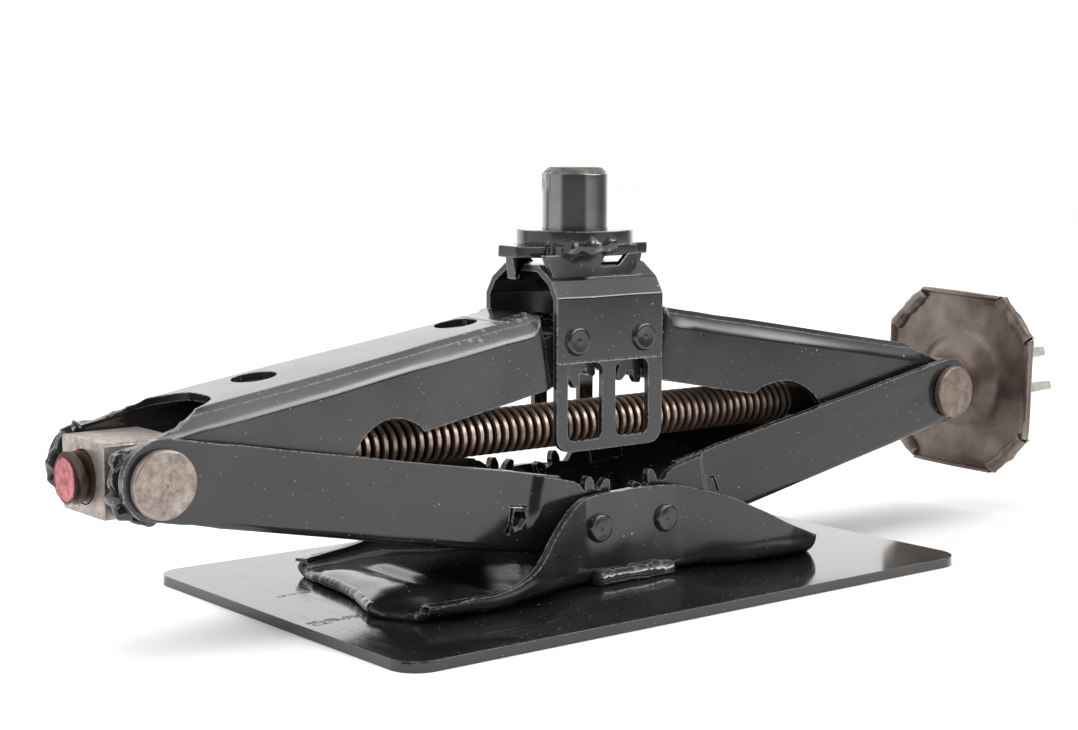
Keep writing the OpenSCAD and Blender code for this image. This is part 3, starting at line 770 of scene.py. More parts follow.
def upper_corner(s):
    k = 0.1 + 0.9 * smooth((s - 11) / 7)
    shape = [(0, 8.0), (-0.1, 7.2), (-0.75, 5.4), (-1.75, 3.6), (-2.5, 2.4), (-2.75, 2.15),
             (-3.1, 2.25), (-3.3, 1.75), (-4.9, 0.12), (-5.5, 0)]
    return [(dy * k, dm * k) for dy, dm in shape], 0.5 + 2.2 * k


def arm_matrix(side, upper):
    """From an arm's own frame, in metres, to the model's."""
    angle = -REST if upper else REST
    z0 = TOP_Z if upper else BASE_Z
    up = -1 if upper else 1
    along = Vector((side * math.cos(angle), 0, math.sin(angle)))
    normal = Vector((-side * math.sin(angle), 0, math.cos(angle))) * up
    matrix = Matrix((along, Vector((0, 1, 0)), normal)).transposed().to_4x4()
    return Matrix.Translation(Vector((side * PIVOT_X, 0, z0)) * MM) @ matrix


GEAR_STEP = 3.0
LOWER_W = box_mm("lower_left_arm")[1].y - GEAR_STEP
UPPER_W = box_mm("upper_left_arm")[1].y
UPPER_PLAN = [(-30, UPPER_W - 4.6), (12.5, UPPER_W - 4.6), (13.4, UPPER_W - 4.0),
              (14.6, UPPER_W - 3.2), (15.5, UPPER_W - 2.9), (60, UPPER_W - 2.9),
              (110, UPPER_W), (210, UPPER_W)]
STATIONS = (-30, 5, 14, 18, 22, 24.5, 26, 27, 28, 29, 30, 31, 32.5, 45, 60, 75, 90, 110, 128, 145,
            155, 165, 175, 190, 210)


def lower_levels(s):
    """Extra half width up the wall: the gear end is pushed outward above the web."""
    push = GEAR_STEP * (1 - smooth((s - 26.5) / 4.2))
    return [(m, push * (0.12 + 0.88 * smooth((m + 9) / 12))) for m in (12, 7, 4.5, 2, -1, -4, -7)]


def channel(name, plan, web, corner_at, levels_at=None):
    rings = []
    for s in sorted({s for s, _ in plan} | set(STATIONS)):
        corner, inner_r = corner_at(s)
        levels = levels_at(s) if levels_at else [(2, 0.0)]
        rings.append(channel_ring(s, at(s, plan), web(s), corner, inner_r, levels))
    return loft(name, rings)


def lower_arm(side, teeth):
    name = "lower_left_arm" if side < 0 else "lower_right_arm"

    def web(s):
        return 13.5

    def edge(s):
        return 17.6 - 2.6 * s / ARM_LEN - 1.0 * (1 - smooth((s - 27) / 3))

    arm = channel("arm", [(-30, LOWER_W), (210, LOWER_W)], web, lower_corner, lower_levels)
    cut(arm, [prism("outline", arm_outline(teeth, web, edge, 14.0), "y", -60, 60)], "INTERSECT")
    inner = LOWER_W - SHEET
    notch = turned("notch", [(0, -60), (19, -60), (19, 2), (0, 2)],
                   centre=(ARM_LEN - 21, 0, 0), steps=48)
    # Lanced flap below the step where the gear end is pushed outward
    if side < 0:
        slit = [(39.3, 4.6), (30.6, 5.1), (30.4, 4.1), (36.9, 3.7), (36.8, -2.4), (37.4, -6.6),
                (40.0, -5.6), (38.1, -3.0), (38.3, 3.6)]
        hole = [(36.2, 2.4), (31.2, 2.8), (30.2, -0.6), (31.6, -3.6), (34.6, -5.2), (36.1, -2.4)]
        slits = [slit, hole]
    else:
        slits = [[(34.4, 5.4), (35.4, 5.4), (37.1, -1.8), (36.1, -2.2)],
                 [(31.8, 5.6), (34.6, 5.6), (34.6, 4.9), (31.8, 4.9)]]
    cut(arm, [prism("web_start", rounded_rect(-45, 14, -60, 0, 2), "y", -inner, inner),
              prism("web_end", rounded_rect(160, 230, -60, 0, 2), "y", 0.2 - inner, inner - 0.2),
              notch] + [prism("slit", s, "y", -60, -20) for s in slits])
    rounded(arm, 0.45)
    roughen(arm, 0.35, 9)
    placed(arm, arm_matrix(side, False))
    # The walls' inner layer runs on past the step, up to the teeth
    tabs = []
    for low, high in ((-LOWER_W, 0.15 - inner), (inner - 0.15, LOWER_W)):
        tab = prism("tab", [(16.2, 9), (34, 7), (34, edge(34) - 0.1), (16.4, 17.25)], "y",
                    low, high)
        rounded(tab, 0.5)
        tabs.append(placed(tab, arm_matrix(side, False)))
    return arm, name, tabs


def burr(name, side, upper, path, radius, body):
    """A ragged bead of burnt metal along a flame-cut edge, in an arm's frame."""
    matrix = arm_matrix(side, upper)
    points = [matrix @ (Vector(p) * MM) / MM for p in path]
    bead = bead_along(name, points, radius, 0.75, 16, 0.4)
    roughen(bead, radius * 0.7, radius * 1.9)
    piece(bead, body, [body], PAINT_BURNT, 180)


def bead_along(name, path, radius, lump, steps=14, wave=2.4):
    """A closed, lumpy bead along a path in millimetres."""
    rings = []
    path = [Vector(p) for p in path]
    lengths = [0.0]
    for a, b in zip(path, path[1:]):
        lengths.append(lengths[-1] + (b - a).length)
    count = max(8, int(lengths[-1] / 0.8))
    for i in range(count + 1):
        t = lengths[-1] * i / count
        k = max(j for j in range(len(path) - 1) if lengths[j] <= t + 1e-9)
        p = path[k].lerp(path[k + 1], (t - lengths[k]) / (lengths[k + 1] - lengths[k]))
        d = (path[k + 1] - path[k]).normalized()
        side = d.cross(Vector((0.1, 1, 0.3))).normalized()
        lift = side.cross(d)
        end = min(1.0, 0.25 + 1.1 * math.sqrt(min(i, count - i) / 4))
        r = radius * end * (1 + 0.3 * lump * math.sin(t * wave) + lump * noise.noise(p * 0.32))
        rings.append([p + side * r * math.cos(2 * math.pi * j / steps)
                      + lift * r * math.sin(2 * math.pi * j / steps) for j in range(steps)])
    return loft(name, rings)


def upper_arm(side, teeth):
    name = "upper_left_arm" if side < 0 else "upper_right_arm"
    relief = (91, 25, 19) if side < 0 else (88.5, 37, 29.3)

    def web(s):
        return 12.9 + 6.1 * s / ARM_LEN

    def edge(s):
        return 16.2 - 2.2 * s / ARM_LEN

    arm = channel("arm", UPPER_PLAN, web, upper_corner)
    outline = arm_outline(teeth, web, edge, 14.0, relief=relief, ragged=2.2)
    cut(arm, [prism("outline", outline, "y", -60, 60)], "INTERSECT")
    # The web's start has a torn edge, its far end a flame-cut notch round the trunnion block
    torn = [(-45, -25)] + [(12.6 + 1.3 * noise.noise(Vector((y * 0.35, 3, side))), y)
                           for y in range(-25, 26, 2)] + [(-45, 25)]
    mouth = [(240, -17.9)] + [
        (ARM_LEN - 15 - 20 * math.cos(a) * (1 + 0.05 * noise.noise(Vector((a * 3, 5, side)))),
         17.9 * math.copysign(abs(math.sin(a)) ** 0.7, math.sin(a)))
        for a in [math.radians(-90 + 9 * i) for i in range(21)]
    ] + [(240, 17.9)]
    holes = [turned("hole", [(0, -60), (8.25, -60), (8.25, 20), (0, 20)], steps=48,
                    centre=(s, 5, 0)) for s in (36, 126)]
    # Beyond the notch the walls' bends are burnt away, more on one side than on the other
    burnt = []
    for low, high, deep in ((-60, 0, 6.4), (0, 60, 3.4)):
        line = [(s, -web(s) + deep * drop + 0.5 * noise.noise(Vector((s * 0.3, deep, side))))
                for s, drop in ((159, -0.3), (163, 0.15), (167, 0.42), (172, 0.66), (177, 0.82),
                                (182, 0.95), (188, 1.05), (194, 1.1), (206, 1.2))]
        burnt.append(prism("burnt", [(159, -60)] + line + [(206, -60)], "y", low, high))
    cut(arm, [prism("torn", torn, "z", -60, -4), prism("mouth", mouth, "z", -60, 2)]
        + burnt + holes)
    rounded(arm, 0.45)
    roughen(arm, 1.0, 3.2, lambda p: smooth((p.x - 158) / 14) * smooth((abs(p.y) - 12) / 4))
    roughen(arm, 1.1, 2.6, lambda p: (1 - smooth((abs(p.x - 13) - 1.5) / 2)) * smooth(-p.z - 9))
    roughen(arm, 0.3, 9)
    placed(arm, arm_matrix(side, True))
    if side < 0:
        wall = UPPER_W - 1.6
        near = [(190, -wall, -11.6), (195, -wall, -8), (197.6, -wall, -3.4), (198.4, -wall, 1.5),
                (197.4, -wall, 6), (194, -wall, 10.6), (188.6, -wall, 13)]
        far = [(186, wall, -15), (192, wall, -13), (197, wall, -8.6), (199, wall, -2.5),
               (198.6, wall, 4), (196.5, wall, 9), (191, wall, 12.4)]
        burr("burr_near", side, True, near, 2.3, name)
        burr("burr_far", side, True, far, 2.5, name)
    return arm, name, []


def add_arms():
    for side, lower_teeth, upper_teeth in ((-1, TEETH_B, TEETH_A), (1, TEETH_A, TEETH_B)):
        made = lower_arm(side, lower_teeth), upper_arm(side, upper_teeth)
        for arm, name, extras in made:
            arm.name = name + "_sheet"
            # The right-hand arms take the darker copy of the paint, which is painted shade
            look = PAINT_RUBBED if name == "upper_left_arm" else PAINT if side < 0 else PAINT_SHADED
            piece(arm, name, [name], look)
            for i, extra in enumerate(extras):
                extra.name = f"{name}_layer_{i}"
                piece(extra, name, [name], look)


PAINT_RUBBED = black_paint("paint_rubbed", dust=0.45, patches=[
    (-52, -27, -22, -7, 104, 122), (-66, -54, -22, -14, 98, 122)])
# Painted shade: a darker copy of the gloss paint for the right-hand arms, with little dust film and no
# coat
PAINT_SHADED = black_paint("paint_shaded", dust=0.08, coat=0.0)
PAINT_BURNT = black_paint("paint_burnt", dust=0.15, wear_and_sheen_amount=0.25, rough=0.12)
add_arms()


# ---- base ----------------------------------------------------------------------------------

PLATE_T = box_mm("base_plate")[1].z
SKIN_Z = PLATE_T + 0.15
BRACKET_T = 2.6
END_X = 98.0
NOSE_X = 84


def bracket_top(x):
    """Half width and height of the bracket wall's free edge."""
    d = abs(x)
    if x < 0:
        y = at(d, [(0, 36), (24, 36.6), (34, 41), (45, 46), (52, 49), (60, 51.5), (70, 52.5),
                   (80, 52), (88, 50), (94, 47), (98, 43)])
        z = at(d, [(0, 39.5), (14, 39.2), (24, 38), (34, 35.3), (41, 31.5), (47, 27), (53, 22),
                   (58, 17.8), (64, 14.4), (70, 12.6), (78, 11.6), (88, 11.2), (98, 10.8)])
        return y, z
    y = at(d, [(0, 36), (24, 36.6), (34, 42), (45, 48), (52, 51), (60, 53), (70, 54), (80, 53),
               (88, 50.5), (94, 47), (98, 43)])
    z = at(d, [(0, 39.5), (14, 39.2), (24, 38), (34, 36), (45, 32), (52, 28.5), (60, 24.5),
               (68, 20.5), (76, 17), (84, 14), (92, 11.8), (98, 10.6)])
    return y, z


def bracket_row(x):
    """Points of the bracket's skin at x, from its middle out to the free edge."""
    y_top, z_top = bracket_top(x)
    radius = at(abs(x), [(0, 4.5), (24, 4.5), (36, 9), (60, 11), (98, 9)])
    radius = min(radius, 0.95 * (z_top - SKIN_Z))
    foot = y_top - radius
    floor = [(foot * i / 12, SKIN_Z) for i in range(12)]
    bend = arc(foot, SKIN_Z + radius, radius, -90, 0, 10)
    wall = [(y_top, SKIN_Z + radius + (z_top - SKIN_Z - radius) * i / 8) for i in range(1, 9)]
    return floor + bend + wall


def left_end(px, py, pz, v):
    """Shape of the bracket's left end: ribs across the floor and a rolled-over, flared mouth."""
    t = -px
    on_floor = 1 - smooth((abs(py) - 26) / 14)
    rib = 2.6 * math.exp(-((t - 72) / 3.6) ** 2) + 0.9 * smooth((t - 80) / 6)
    pz += on_floor * rib * smooth((t - 60) / 8)
    if t > NOSE_X:
        k = (t - NOSE_X) / (END_X - NOSE_X)
        # On the floor the end rises in a ridge and rolls down to the plate; the near side more
        near = smooth((24 - py) / 48)
        ridge = (1.5 + 3.4 * near) * math.sin(math.pi * min(1, k * 0.62 + 0.05)) * (1 - k ** 6)
        pz += on_floor * ridge * (1 - smooth((k - 0.78) / 0.22))
        px -= on_floor * k * k * (4.5 + 5.5 * near)
        # Round the mouth the walls flare outward
        flare = (1 - on_floor) * k ** 2
        py += math.copysign(3.6, py) * flare
        px -= 1.2 * flare
        pz -= 1.6 * flare * smooth((v - 0.8) / 0.2)
        px -= 6.0 * k * k * smooth(-py / 30)
        # A hook-shaped dip where the near wall meets the floor's rolled end
        dip = math.exp(-((py + 36) / 4.2) ** 2) * smooth((k - 0.35) / 0.5)
        pz -= 4.0 * dip
        px -= 2.2 * dip
    return px, py, pz


def add_bracket():
    stations = [END_X * i / 34 for i in range(-34, 35)]
    verts, faces, width = [], [], None
    for i, x in enumerate(stations):
        half = bracket_row(x)
        row = [(-y, z) for y, z in half[::-1]] + half[1:]
        width = len(row)
        for k, (py, pz) in enumerate(row):
            v = abs(2 * k / (width - 1) - 1)
            px = x
            if x < 0:
                px, py, pz = left_end(px, py, pz, v)
            elif x > NOSE_X:
                # The nose is blunt, with its corners rounded in plan
                bite = ((x - NOSE_X) / (END_X - NOSE_X)) ** 3
                px -= 3.5 * bite * smooth((abs(py) - 30) / 16)
                py *= 1 - 0.05 * bite
            verts.append((px, py, max(pz, SKIN_Z)))
        if i:
            a, b = (i - 1) * width, i * width
            faces += [(a + k, a + k + 1, b + k + 1, b + k) for k in range(width - 1)]
    rim = [Vector(p) + Vector((0, 0, 1.2)) for p in verts[10:width - 10:2]]
    bracket = new_object("base_bracket_sheet", verts, faces)
    for p in bracket.data.polygons:
        if p.center.z < (PLATE_T + 1) * MM and abs(p.normal.z) > 0.9:
            if p.normal.z > 0:
                bracket.data.flip_normals()
            break
    applied(add_modifier(bracket, "SOLIDIFY", thickness=BRACKET_T * MM, offset=-1,
                         use_even_offset=False, use_quality_normals=True))
    rounded(bracket, 0.9, 3, 50)
    roughen(bracket, 0.45, 14)
    low = PLATE_T + 0.02
    kept_above(bracket, low)
    piece(bracket, "base", ["base_bracket"], PAINT, 60)
    # The mouth's edge is rolled over
    roll = bead_along("base_bracket_rim", rim, 2.1, 0.12, 18, 0.3)
    kept_above(roll, low)
    piece(roll, "base", ["base_bracket"], PAINT, 180)


def add_base():
    carry("base_plate", PAINT_PLATE, 0.7)
    add_bracket()
    z = PLATE_T + 2.0
    for word, side, x0, x1 in (("near", -1, -21, 20), ("far", 1, -23, 14)):
        path = [(x0 + (x1 - x0) * i / 5, side * (37.2 + 0.7 * (i % 2)), z) for i in range(6)]
        bead = bead_along("bracket_weld_" + word, path, 3.5, 0.12, 20, 0.6)
        roughen(bead, 0.6, 7.0)
        kept_above(bead, PLATE_T + 0.01)
        piece(bead, "base", ["bracket_welds"], WELD, 180)


def carry(node, material, bevel=0.25):
    """Gives an object of the CAD a finished surface, and rounds its edges."""
    obj = frame["nodes"][node]
    add_modifier(obj, "WELD", merge_threshold=1e-5)
    add_modifier(obj, "BEVEL", width=bevel * MM, segments=3, limit_method="ANGLE",
                 angle_limit=math.radians(40), harden_normals=True)
    obj.data.materials.clear()
    obj.data.materials.append(material)


add_base()


def add_rivet(name, x, z, half_grip, head_r, height, body):
    """A long rivet along Y with pressed heads: a flat land inside a rounded shoulder."""
    crown = [(0, 0.86), (0.14, 0.88), (0.20, 0.80), (0.28, 0.88), (0.60, 0.90), (0.70, 1.0),
             (0.82, 0.98), (0.92, 0.80), (0.98, 0.50), (1.0, 0.2), (1.0, 0.0)]
    profile = [(head_r * r, half_grip + height * h) for r, h in crown] + [(4, half_grip)]
    profile = profile + [(r, -h) for r, h in profile[::-1]]
    rivet = turned(name + "_head", profile, "y", 48, (x, 0, z))
    roughen(rivet, 0.12, 5.0, lambda p: smooth((abs(p.y) - half_grip - 0.3) / 1.0))
    piece(rivet, body, [name], PAINT, 60)


def add_rivets():
    for side, word in ((-1, "left"), (1, "right")):
        for name, z, height, body in (("base_rivet_" + word, BASE_Z, 2.2, "base"),
                                      ("top_rivet_" + word, TOP_Z, 1.6, "top")):
            low, high = box_mm(name)
            add_rivet(name, side * PIVOT_X, z, high.y - height, (high.x - low.x) / 2, height, body)


add_rivets()


# ---- trunnions -----------------------------------------------------------------------------

def add_block(word, bore_r, look):
    side = -1 if word == "left" else 1
    node = "left_trunnion_nut" if side < 0 else "right_trunnion_block"
    low, high = box_mm(node)
    w, h = high.y, (high.z - low.z) / 2
    c = 0.8
    outline = [(w, h - c), (w - c, h), (c - w, h), (-w, h - c), (-w, c - h), (c - w, -h),
               (w - c, -h), (w, c - h)]
    block = loft(node + "_body", [[(x, a, TRUNNION_Z + b) for a, b in outline]
                                  for x in (low.x, high.x)])
    bore = turned("bore", [(0, -30), (bore_r, -30), (bore_r, 30), (0, 30)], "x", 64,
                  (side * TRUNNION_X, 0, TRUNNION_Z))
    cut(block, [bore])
    rounded(block, 0.3, 2)
    piece(block, word + "_trunnion", [node], look)


def add_pins(word, look):
    side = -1 if word == "left" else 1
    low, high = box_mm(word + "_trunnion_pins")
    head_r = (high.x - low.x) / 2
    face = high.y
    seat = face - 3.4
    for sy, tag in ((-1, "near"), (1, "far")):
        profile = [(0, face - 0.6), (0.5, face - 0.45), (0.8, face - 0.05), (1.3, face),
                   (head_r - 0.9, face), (head_r - 0.25, face - 0.35), (head_r, face - 0.9),
                   (head_r, seat + 0.4), (head_r - 0.4, seat), (7.0, seat), (7.0, 11.0), (0, 11.0)]
        pin = turned(f"{word}_pin_{tag}", [(r, sy * h) for r, h in profile], "y", 96,
                     (side * TRUNNION_X, 0, TRUNNION_Z))
        roughen(pin, 0.15, 6.0)
        piece(pin, word + "_trunnion", [word + "_trunnion_pins"], look, 40)


add_block("left", 9.3, STEEL_DAB)
add_block("right", 7.56, STEEL)
add_pins("left", STEEL)
add_pins("right", STEEL_WARM)


# ---- lead screw and drive ------------------------------------------------------------------

SCREW_LOW, SCREW_HIGH = box_mm("lead_screw")
SCREW_LEFT = SCREW_LOW.x
SCREW_R = (SCREW_HIGH.y - SCREW_LOW.y) / 2
THREAD_END = TRUNNION_X - 83
PITCH = 4.0
DEPTH = 2.2


def add_screw():
    steps = 40
    start, stop = SCREW_LEFT - 2 * PITCH, THREAD_END + 2 * PITCH
    turns = int((stop - start) / PITCH)
    shape = [(0.0, SCREW_R), (0.38 * PITCH, SCREW_R), (0.53 * PITCH, SCREW_R - DEPTH),
             (0.85 * PITCH, SCREW_R - DEPTH)]
    verts, faces = [], []
    rows = turns * len(shape)
    for j in range(rows + 1):
        x, r = shape[j % len(shape)]
        x += start + PITCH * (j // len(shape))
        for k in range(steps):
            a = 2 * math.pi * k / steps
            verts.append((x + PITCH * k / steps, r * math.cos(a), TRUNNION_Z + r * math.sin(a)))
    for j in range(rows):
        for k in range(steps):
            quad = []
            for jj, kk in ((j, k), (j + 1, k), (j + 1, k + 1), (j, k + 1)):
                if kk == steps:
                    jj, kk = jj + len(shape), 0
                quad.append(jj * steps + kk if jj <= rows else None)
            if None not in quad:
                faces.append(tuple(quad))
    screw = new_object("lead_screw_thread", verts, faces)
    bm = bmesh.new()
    bm.from_mesh(screw.data)
    rims = [e for e in bm.edges if e.is_boundary]
    bmesh.ops.holes_fill(bm, edges=rims, sides=0)
    bmesh.ops.triangulate(bm, faces=[f for f in bm.faces if len(f.verts) > 4])
    bmesh.ops.recalc_face_normals(bm, faces=bm.faces)
    bm.to_mesh(screw.data)
    bm.free()
    envelope = turned("envelope", [(0, SCREW_LEFT), (SCREW_R - 0.9, SCREW_LEFT),
                                   (SCREW_R + 0.2, SCREW_LEFT + 0.9), (SCREW_R + 0.2, THREAD_END),
                                   (0, THREAD_END)], "x", 64, (0, 0, TRUNNION_Z))
    cut(screw, [envelope], "INTERSECT")
    piece(screw, "drive", ["lead_screw"], SCREW, 28)

    yoke_x = box_mm("drive_yoke")[0].x
    shank = turned("lead_screw_shank", [
        (0, THREAD_END - 1), (6.6, THREAD_END - 1), (6.6, THREAD_END + 0.4),
        (7.5, THREAD_END + 1.6), (7.5, yoke_x), (4.5, yoke_x), (4.5, yoke_x + 5),
        (0, yoke_x + 5)], "x", 64, (0, 0, TRUNNION_Z))
    piece(shank, "drive", ["lead_screw"], SCREW, 30)


add_screw()

WHEEL_HALF = 42.0
WHEEL_CUT = 18.0
WHEEL_ROLL = math.radians(2)


def octagon_radius(angle, half, chamfer):
    """Distance from the centre to the edge of a square with cut corners."""
    c, s = abs(math.cos(angle)), abs(math.sin(angle))
    side, corner, blend = half / max(c, s), (2 * half - chamfer) / (c + s), 0.7
    near = min(side, corner)
    return near - blend * math.log(1 + math.exp(-abs(side - corner) / blend))


def around(x, r, a):
    """A point on the hand wheel, at radius r and angle a."""
    a += WHEEL_ROLL
    return (x, r * math.cos(a), TRUNNION_Z + r * math.sin(a))


def add_wheel():
    low, high = box_mm("hand_wheel")
    floor_x, dome_x = high.x, low.x
    rim_x = floor_x - 5.0
    steps = 320
    corner = math.atan2(WHEEL_HALF - WHEEL_CUT, WHEEL_HALF)
    rings = []
    for i in range(steps):
        a = 2 * math.pi * (i + 0.5) / steps
        edge = octagon_radius(a, WHEEL_HALF, WHEEL_CUT)
        turn = (a + math.pi / 4) % (math.pi / 2) - math.pi / 4
        hemmed = abs(turn) > corner
        # The lip is low under the rolled hems, and notched where it meets them
        gap = max(0.0, 1 - abs(abs(turn) - corner) / 0.018)
        lip = rim_x + (2.6 if hemmed else 0.0) + 2.4 * min(1.0, gap * 2)
        skin = [(7.6, dome_x), (10.5, dome_x), (13.0, dome_x + 0.35), (15.5, dome_x + 1.2),
                (18.0, dome_x + 2.8), (20.3, dome_x + 4.9), (22.2, dome_x + 6.6),
                (24.2, floor_x - 2.2), (27.5, floor_x - 1.9), (31.0, floor_x - 1.9),
                (edge - 6.5, floor_x - 2.0), (edge - 3.6, floor_x - 2.6),
                (edge - 2.3, floor_x - 3.4), (edge - 1.9, lip + 0.4), (edge - 1.4, lip),
                (edge - 0.6, lip), (edge, lip + 0.5), (edge, floor_x - 2.2),
                (edge - 0.7, floor_x - 0.7), (edge - 2.4, floor_x), (31.0, floor_x),
                (26.5, floor_x - 0.1), (23.6, floor_x - 0.8), (20.8, dome_x + 8.0),
                (17.6, dome_x + 5.2), (14.4, dome_x + 3.0), (12.0, dome_x + 2.4),
                (7.6, dome_x + 2.4)]
        rings.append([around(x, r, a) for r, x in skin])
    wheel = loft("hand_wheel_tray", rings, close=True)
    roughen(wheel, 0.5, 24)
    piece(wheel, "drive", ["hand_wheel"], WHEEL, 42)
    # Rolled hems along the cut corners, open at their ends
    for i in range(4):
        a = math.radians(45 + 90 * i) + WHEEL_ROLL
        mid = (2 * WHEEL_HALF - WHEEL_CUT) / math.sqrt(2) - 2.4
        run = WHEEL_CUT / math.sqrt(2) - 1.0
        across = Vector((0, -math.sin(a), math.cos(a)))
        out = Vector((0, math.cos(a), math.sin(a)))
        centre = Vector((rim_x + 2.3, 0, TRUNNION_Z)) + out * mid
        outline = arc(0, 0, 3.1, -75, 225, 20) + arc(0, 0, 1.5, 225, -75, 14)
        rings = []
        for n in range(15):
            t = -1 + n / 7
            swell = 1 + 0.09 * math.sin(5 * t + i) + 0.05 * math.cos(11 * t)
            rings.append([centre + across * run * t + out * (y * swell - 0.5 * t * t)
                          + Vector((-x * swell, 0, 0)) for y, x in outline])
        hem = loft(f"wheel_hem_{i}", rings)
        roughen(hem, 0.45, 4)
        piece(hem, "drive", ["hand_wheel"], WHEEL, 50)


def add_yoke():
    low, high = box_mm("drive_yoke")
    roll = math.radians(15)
    gap, ear, width = 6.5, 4.0, 20.0
    length = high.x - low.x - 0.3
    out = gap + ear
    profile = filleted([(length, out), (0.2, out), (0.2, -out), (length, -out)], 5.5, 6)
    section = profile + offset_line(profile, ear)[::-1]
    strap = prism("yoke", [(low.x + x, z) for x, z in section], "y", -width / 2, width / 2)
    tip = arc(low.x + length - width / 2, 0, width / 2, -90, 90, 24)
    outline = [(low.x - 5, -width / 2)] + tip + [(low.x - 5, width / 2)]
    cut(strap, [prism("plan", outline, "z", -40, 40)], "INTERSECT")
    eye = turned("eye", [(0, -40), (5.25, -40), (5.25, 40), (0, 40)], "z", 40,
                 (low.x + length - width / 2, 0, 0))
    hole = turned("hole", [(0, -9), (4.52, -9), (4.52, 9), (0, 9)], "x", 40, (low.x, 0, 0))
    cut(strap, [eye, hole])
    rounded(strap, 0.5, 2)
    roughen(strap, 0.3, 8)
    placed(strap, Matrix.Translation((0, 0, TRUNNION_Z * MM)) @ Matrix.Rotation(-roll, 4, "X"))
    strap.name = "drive_yoke_strap"
    piece(strap, "drive", ["drive_yoke"], ZINC)


add_wheel()
add_yoke()


# ---- top bracket, saddle and post ----------------------------------------------------------

TOP_MIN, TOP_MAX = box_mm("top_bracket")
TOP_HALF, TOP_W, ROOF_Z = TOP_MAX
TOP_LOW = TOP_MIN.z
SHOULDER_Z = ROOF_Z - 5.8


def add_top_bracket():
    t = 2.5
    low = TOP_LOW - 5
    path = [(-TOP_W, low), (-TOP_W, SHOULDER_Z - 6.4), (-TOP_W + 4.0, SHOULDER_Z),
            (-10.2, ROOF_Z), (10.2, ROOF_Z), (TOP_W - 4.0, SHOULDER_Z),
            (TOP_W, SHOULDER_Z - 6.4), (TOP_W, low)]
    outer = filleted(path, [2.4, 2.0, 3, 3, 2.0, 2.4], 5)
    inner = filleted(offset_line(path, -t), [1.2, 1.2, 2, 2, 1.2, 1.2], 5)
    section = outer + inner[::-1]
    sheet = loft("top", [[(x, y, z) for y, z in section]
                         for x in (-TOP_HALF, -TOP_HALF + 3, -9, 9, TOP_HALF - 3, TOP_HALF)])
    outline = rounded_rect(-TOP_HALF, TOP_HALF, TOP_LOW, ROOF_Z + 40, 6.5, 8)
    cut(sheet, [prism("outline", outline, "y", -60, 60)], "INTERSECT")
    z0, z1 = TOP_LOW + 4.2, TOP_Z - 8.8
    cut(sheet, [prism("window", rounded_rect(x0, x0 + 17.4, z0, z1, 3.5), "y", -60, 60)
                for x0 in (-21.6, 2.5)])
    # A scored line across the cheeks, over the windows
    for side in (-1, 1):
        score = loft("score", [[(x, side * (TOP_W - 0.28), z1 + 0.6), (x, side * TOP_W, z1 + 0.3),
                                (x, side * (TOP_W + 0.5), z1 + 0.6), (x, side * TOP_W, z1 + 0.9)]
                               for x in (-TOP_HALF - 1, TOP_HALF + 1)])
        cut(sheet, [score])
    rounded(sheet, 0.55, 2, 40)
    roughen(sheet, 0.2, 8)
    sheet.name = "top_bracket_sheet"
    piece(sheet, "top", ["top_bracket"], PAINT)


def add_saddle():
    over = box_mm("saddle_plate")[1].z
    under = over - 4.5
    # Plate with stepped tongues
    outline = [(-20, -15), (20, -15), (21, -8.5), (27, -7.5), (33.5, -6), (34, 5), (27, 7.5),
               (21, 8.5), (20, 15), (-20, 15), (-21, 8.5), (-27, 7.5), (-34, 6), (-33.5, -5),
               (-27, -7.5), (-21, -8.5)]
    plate = prism("saddle", outline, "z", under, over)
    rounded(plate, 0.7, 3)
    pieces = [plate]
    for turn in (0, math.pi):
        top = under + 1.2
        flap_shape = [(-28, top), (3.8, top), (1.5, under - 1.0), (-0.6, under - 3.4),
                      (9.0, under - 3.6), (14.6, top), (20.6, top), (19.0, under - 4.0),
                      (14.4, SHOULDER_Z + 0.2), (-23.8, SHOULDER_Z)]
        rows = []
        for shift in (0.0, 2.6):
            rows.append([(x, -15.4 - 1.8 * (top - z) / (top - SHOULDER_Z) + shift, z)
                         for x, z in flap_shape])
        flap = loft("flap", rows)
        rounded(flap, 0.5, 2)
        hook_path = filleted([(24, over - 1.2), (33.0, over - 1.2), (31.4, under - 8.3)], 3.0, 5)
        strip = hook_path + offset_line(hook_path, -2.6)[::-1]
        hook = prism("hook", strip, "y", -3.4, 1.4)
        rounded(hook, 0.6, 2)
        roughen(hook, 1.3, 3.0, lambda p: smooth((p.x - 27) / 4))
        for extra in (flap, hook):
            placed(extra, Matrix.Rotation(turn, 4, "Z"))
            pieces.append(extra)
    for i, item in enumerate(pieces):
        roughen(item, 0.4, 6)
        item.name = f"saddle_part_{i}"
        piece(item, "top", ["saddle_plate"], PAINT)


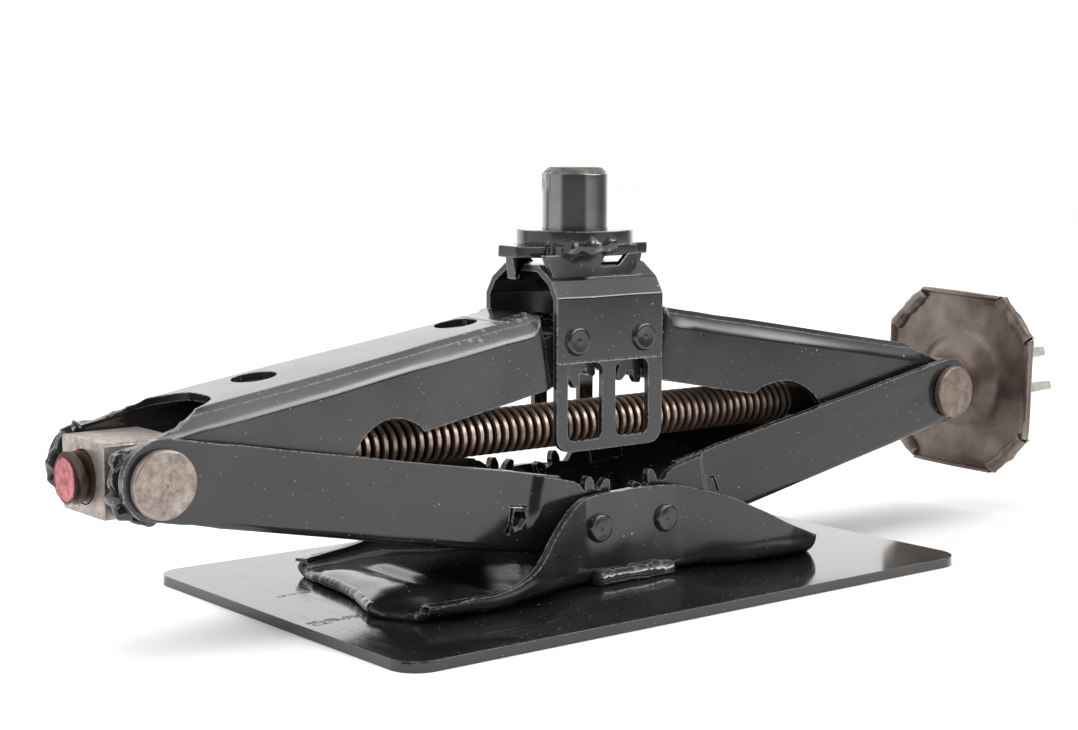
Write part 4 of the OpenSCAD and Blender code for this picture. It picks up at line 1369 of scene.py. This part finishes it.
def add_top():
    add_top_bracket()
    add_saddle()
    low, high = box_mm("lift_flange")
    r, z0, z1 = high.x, low.z, high.z
    flange = turned("lift_flange_disc", [
        (0, z0), (r - 0.8, z0), (r - 0.2, z0 + 0.25), (r, z0 + 0.8), (r, z1 - 0.5),
        (r - 0.15, z1 - 0.15), (r - 0.5, z1), (0, z1)], "z", 120)
    roughen(flange, 0.25, 9)
    piece(flange, "top", ["lift_flange"], PAINT)

    low, high = box_mm("lift_post")
    post_r, p0, p1 = high.x, low.z, high.z
    post = turned("lift_post_bar", [
        (0, p0), (post_r, p0), (post_r, p0 + 5), (post_r, p0 + 10), (post_r, p0 + 14),
        (post_r, p0 + 17), (post_r, p1 - 5), (post_r, p1 - 2.9), (post_r - 0.15, p1 - 2.5),
        (post_r - 2.3, p1 - 0.3), (post_r - 2.9, p1), (0, p1)], "z", 160)
    # A knock in the paint near the top
    roughen(post, 0.9, 1.6, lambda p: smooth((p.z - p1 + 9) / 3) * smooth(
        (-0.96 * p.x + 0.28 * p.y - post_r + 1.6) / 1.2))
    piece(post, "top", ["lift_post"], blackened("black_bar", p1))

    path = [((r - 2.2) * math.cos(math.radians(a)), (r - 2.2) * math.sin(math.radians(a)),
             z0 - 0.4 + 0.8 * math.sin(math.radians(3 * a))) for a in range(-156, -78, 6)]
    bead = bead_along("flange_weld_bead", path, 3.7, 0.18, 20, 0.9)
    roughen(bead, 1.0, 5.0)
    piece(bead, "top", ["flange_weld"], WELD, 180)
    for side, word in ((-1, "near"), (1, "far")):
        path = [(side * -x, side * 18.0, SHOULDER_Z + 0.5) for x in (-10, -2, 6, 12, 20)]
        bead = bead_along("saddle_weld_" + word, path, 1.0, 0.3)
        piece(bead, "top", ["saddle_welds"], WELD, 60)


add_top()


# ---- carried-over CAD nodes ----------------------------------------------------------------

for node_name, look in (("left_trunnion_washers", PAINT), ("right_trunnion_washers", PAINT),
                        ("top_washers", PAINT), ("stop_collar", STEEL_DARK),
                        ("thrust_bearing", STEEL_DARK), ("wheel_sleeve", WHEEL),
                        ("screw_end_rivet", STEEL)):
    carry(node_name, look)
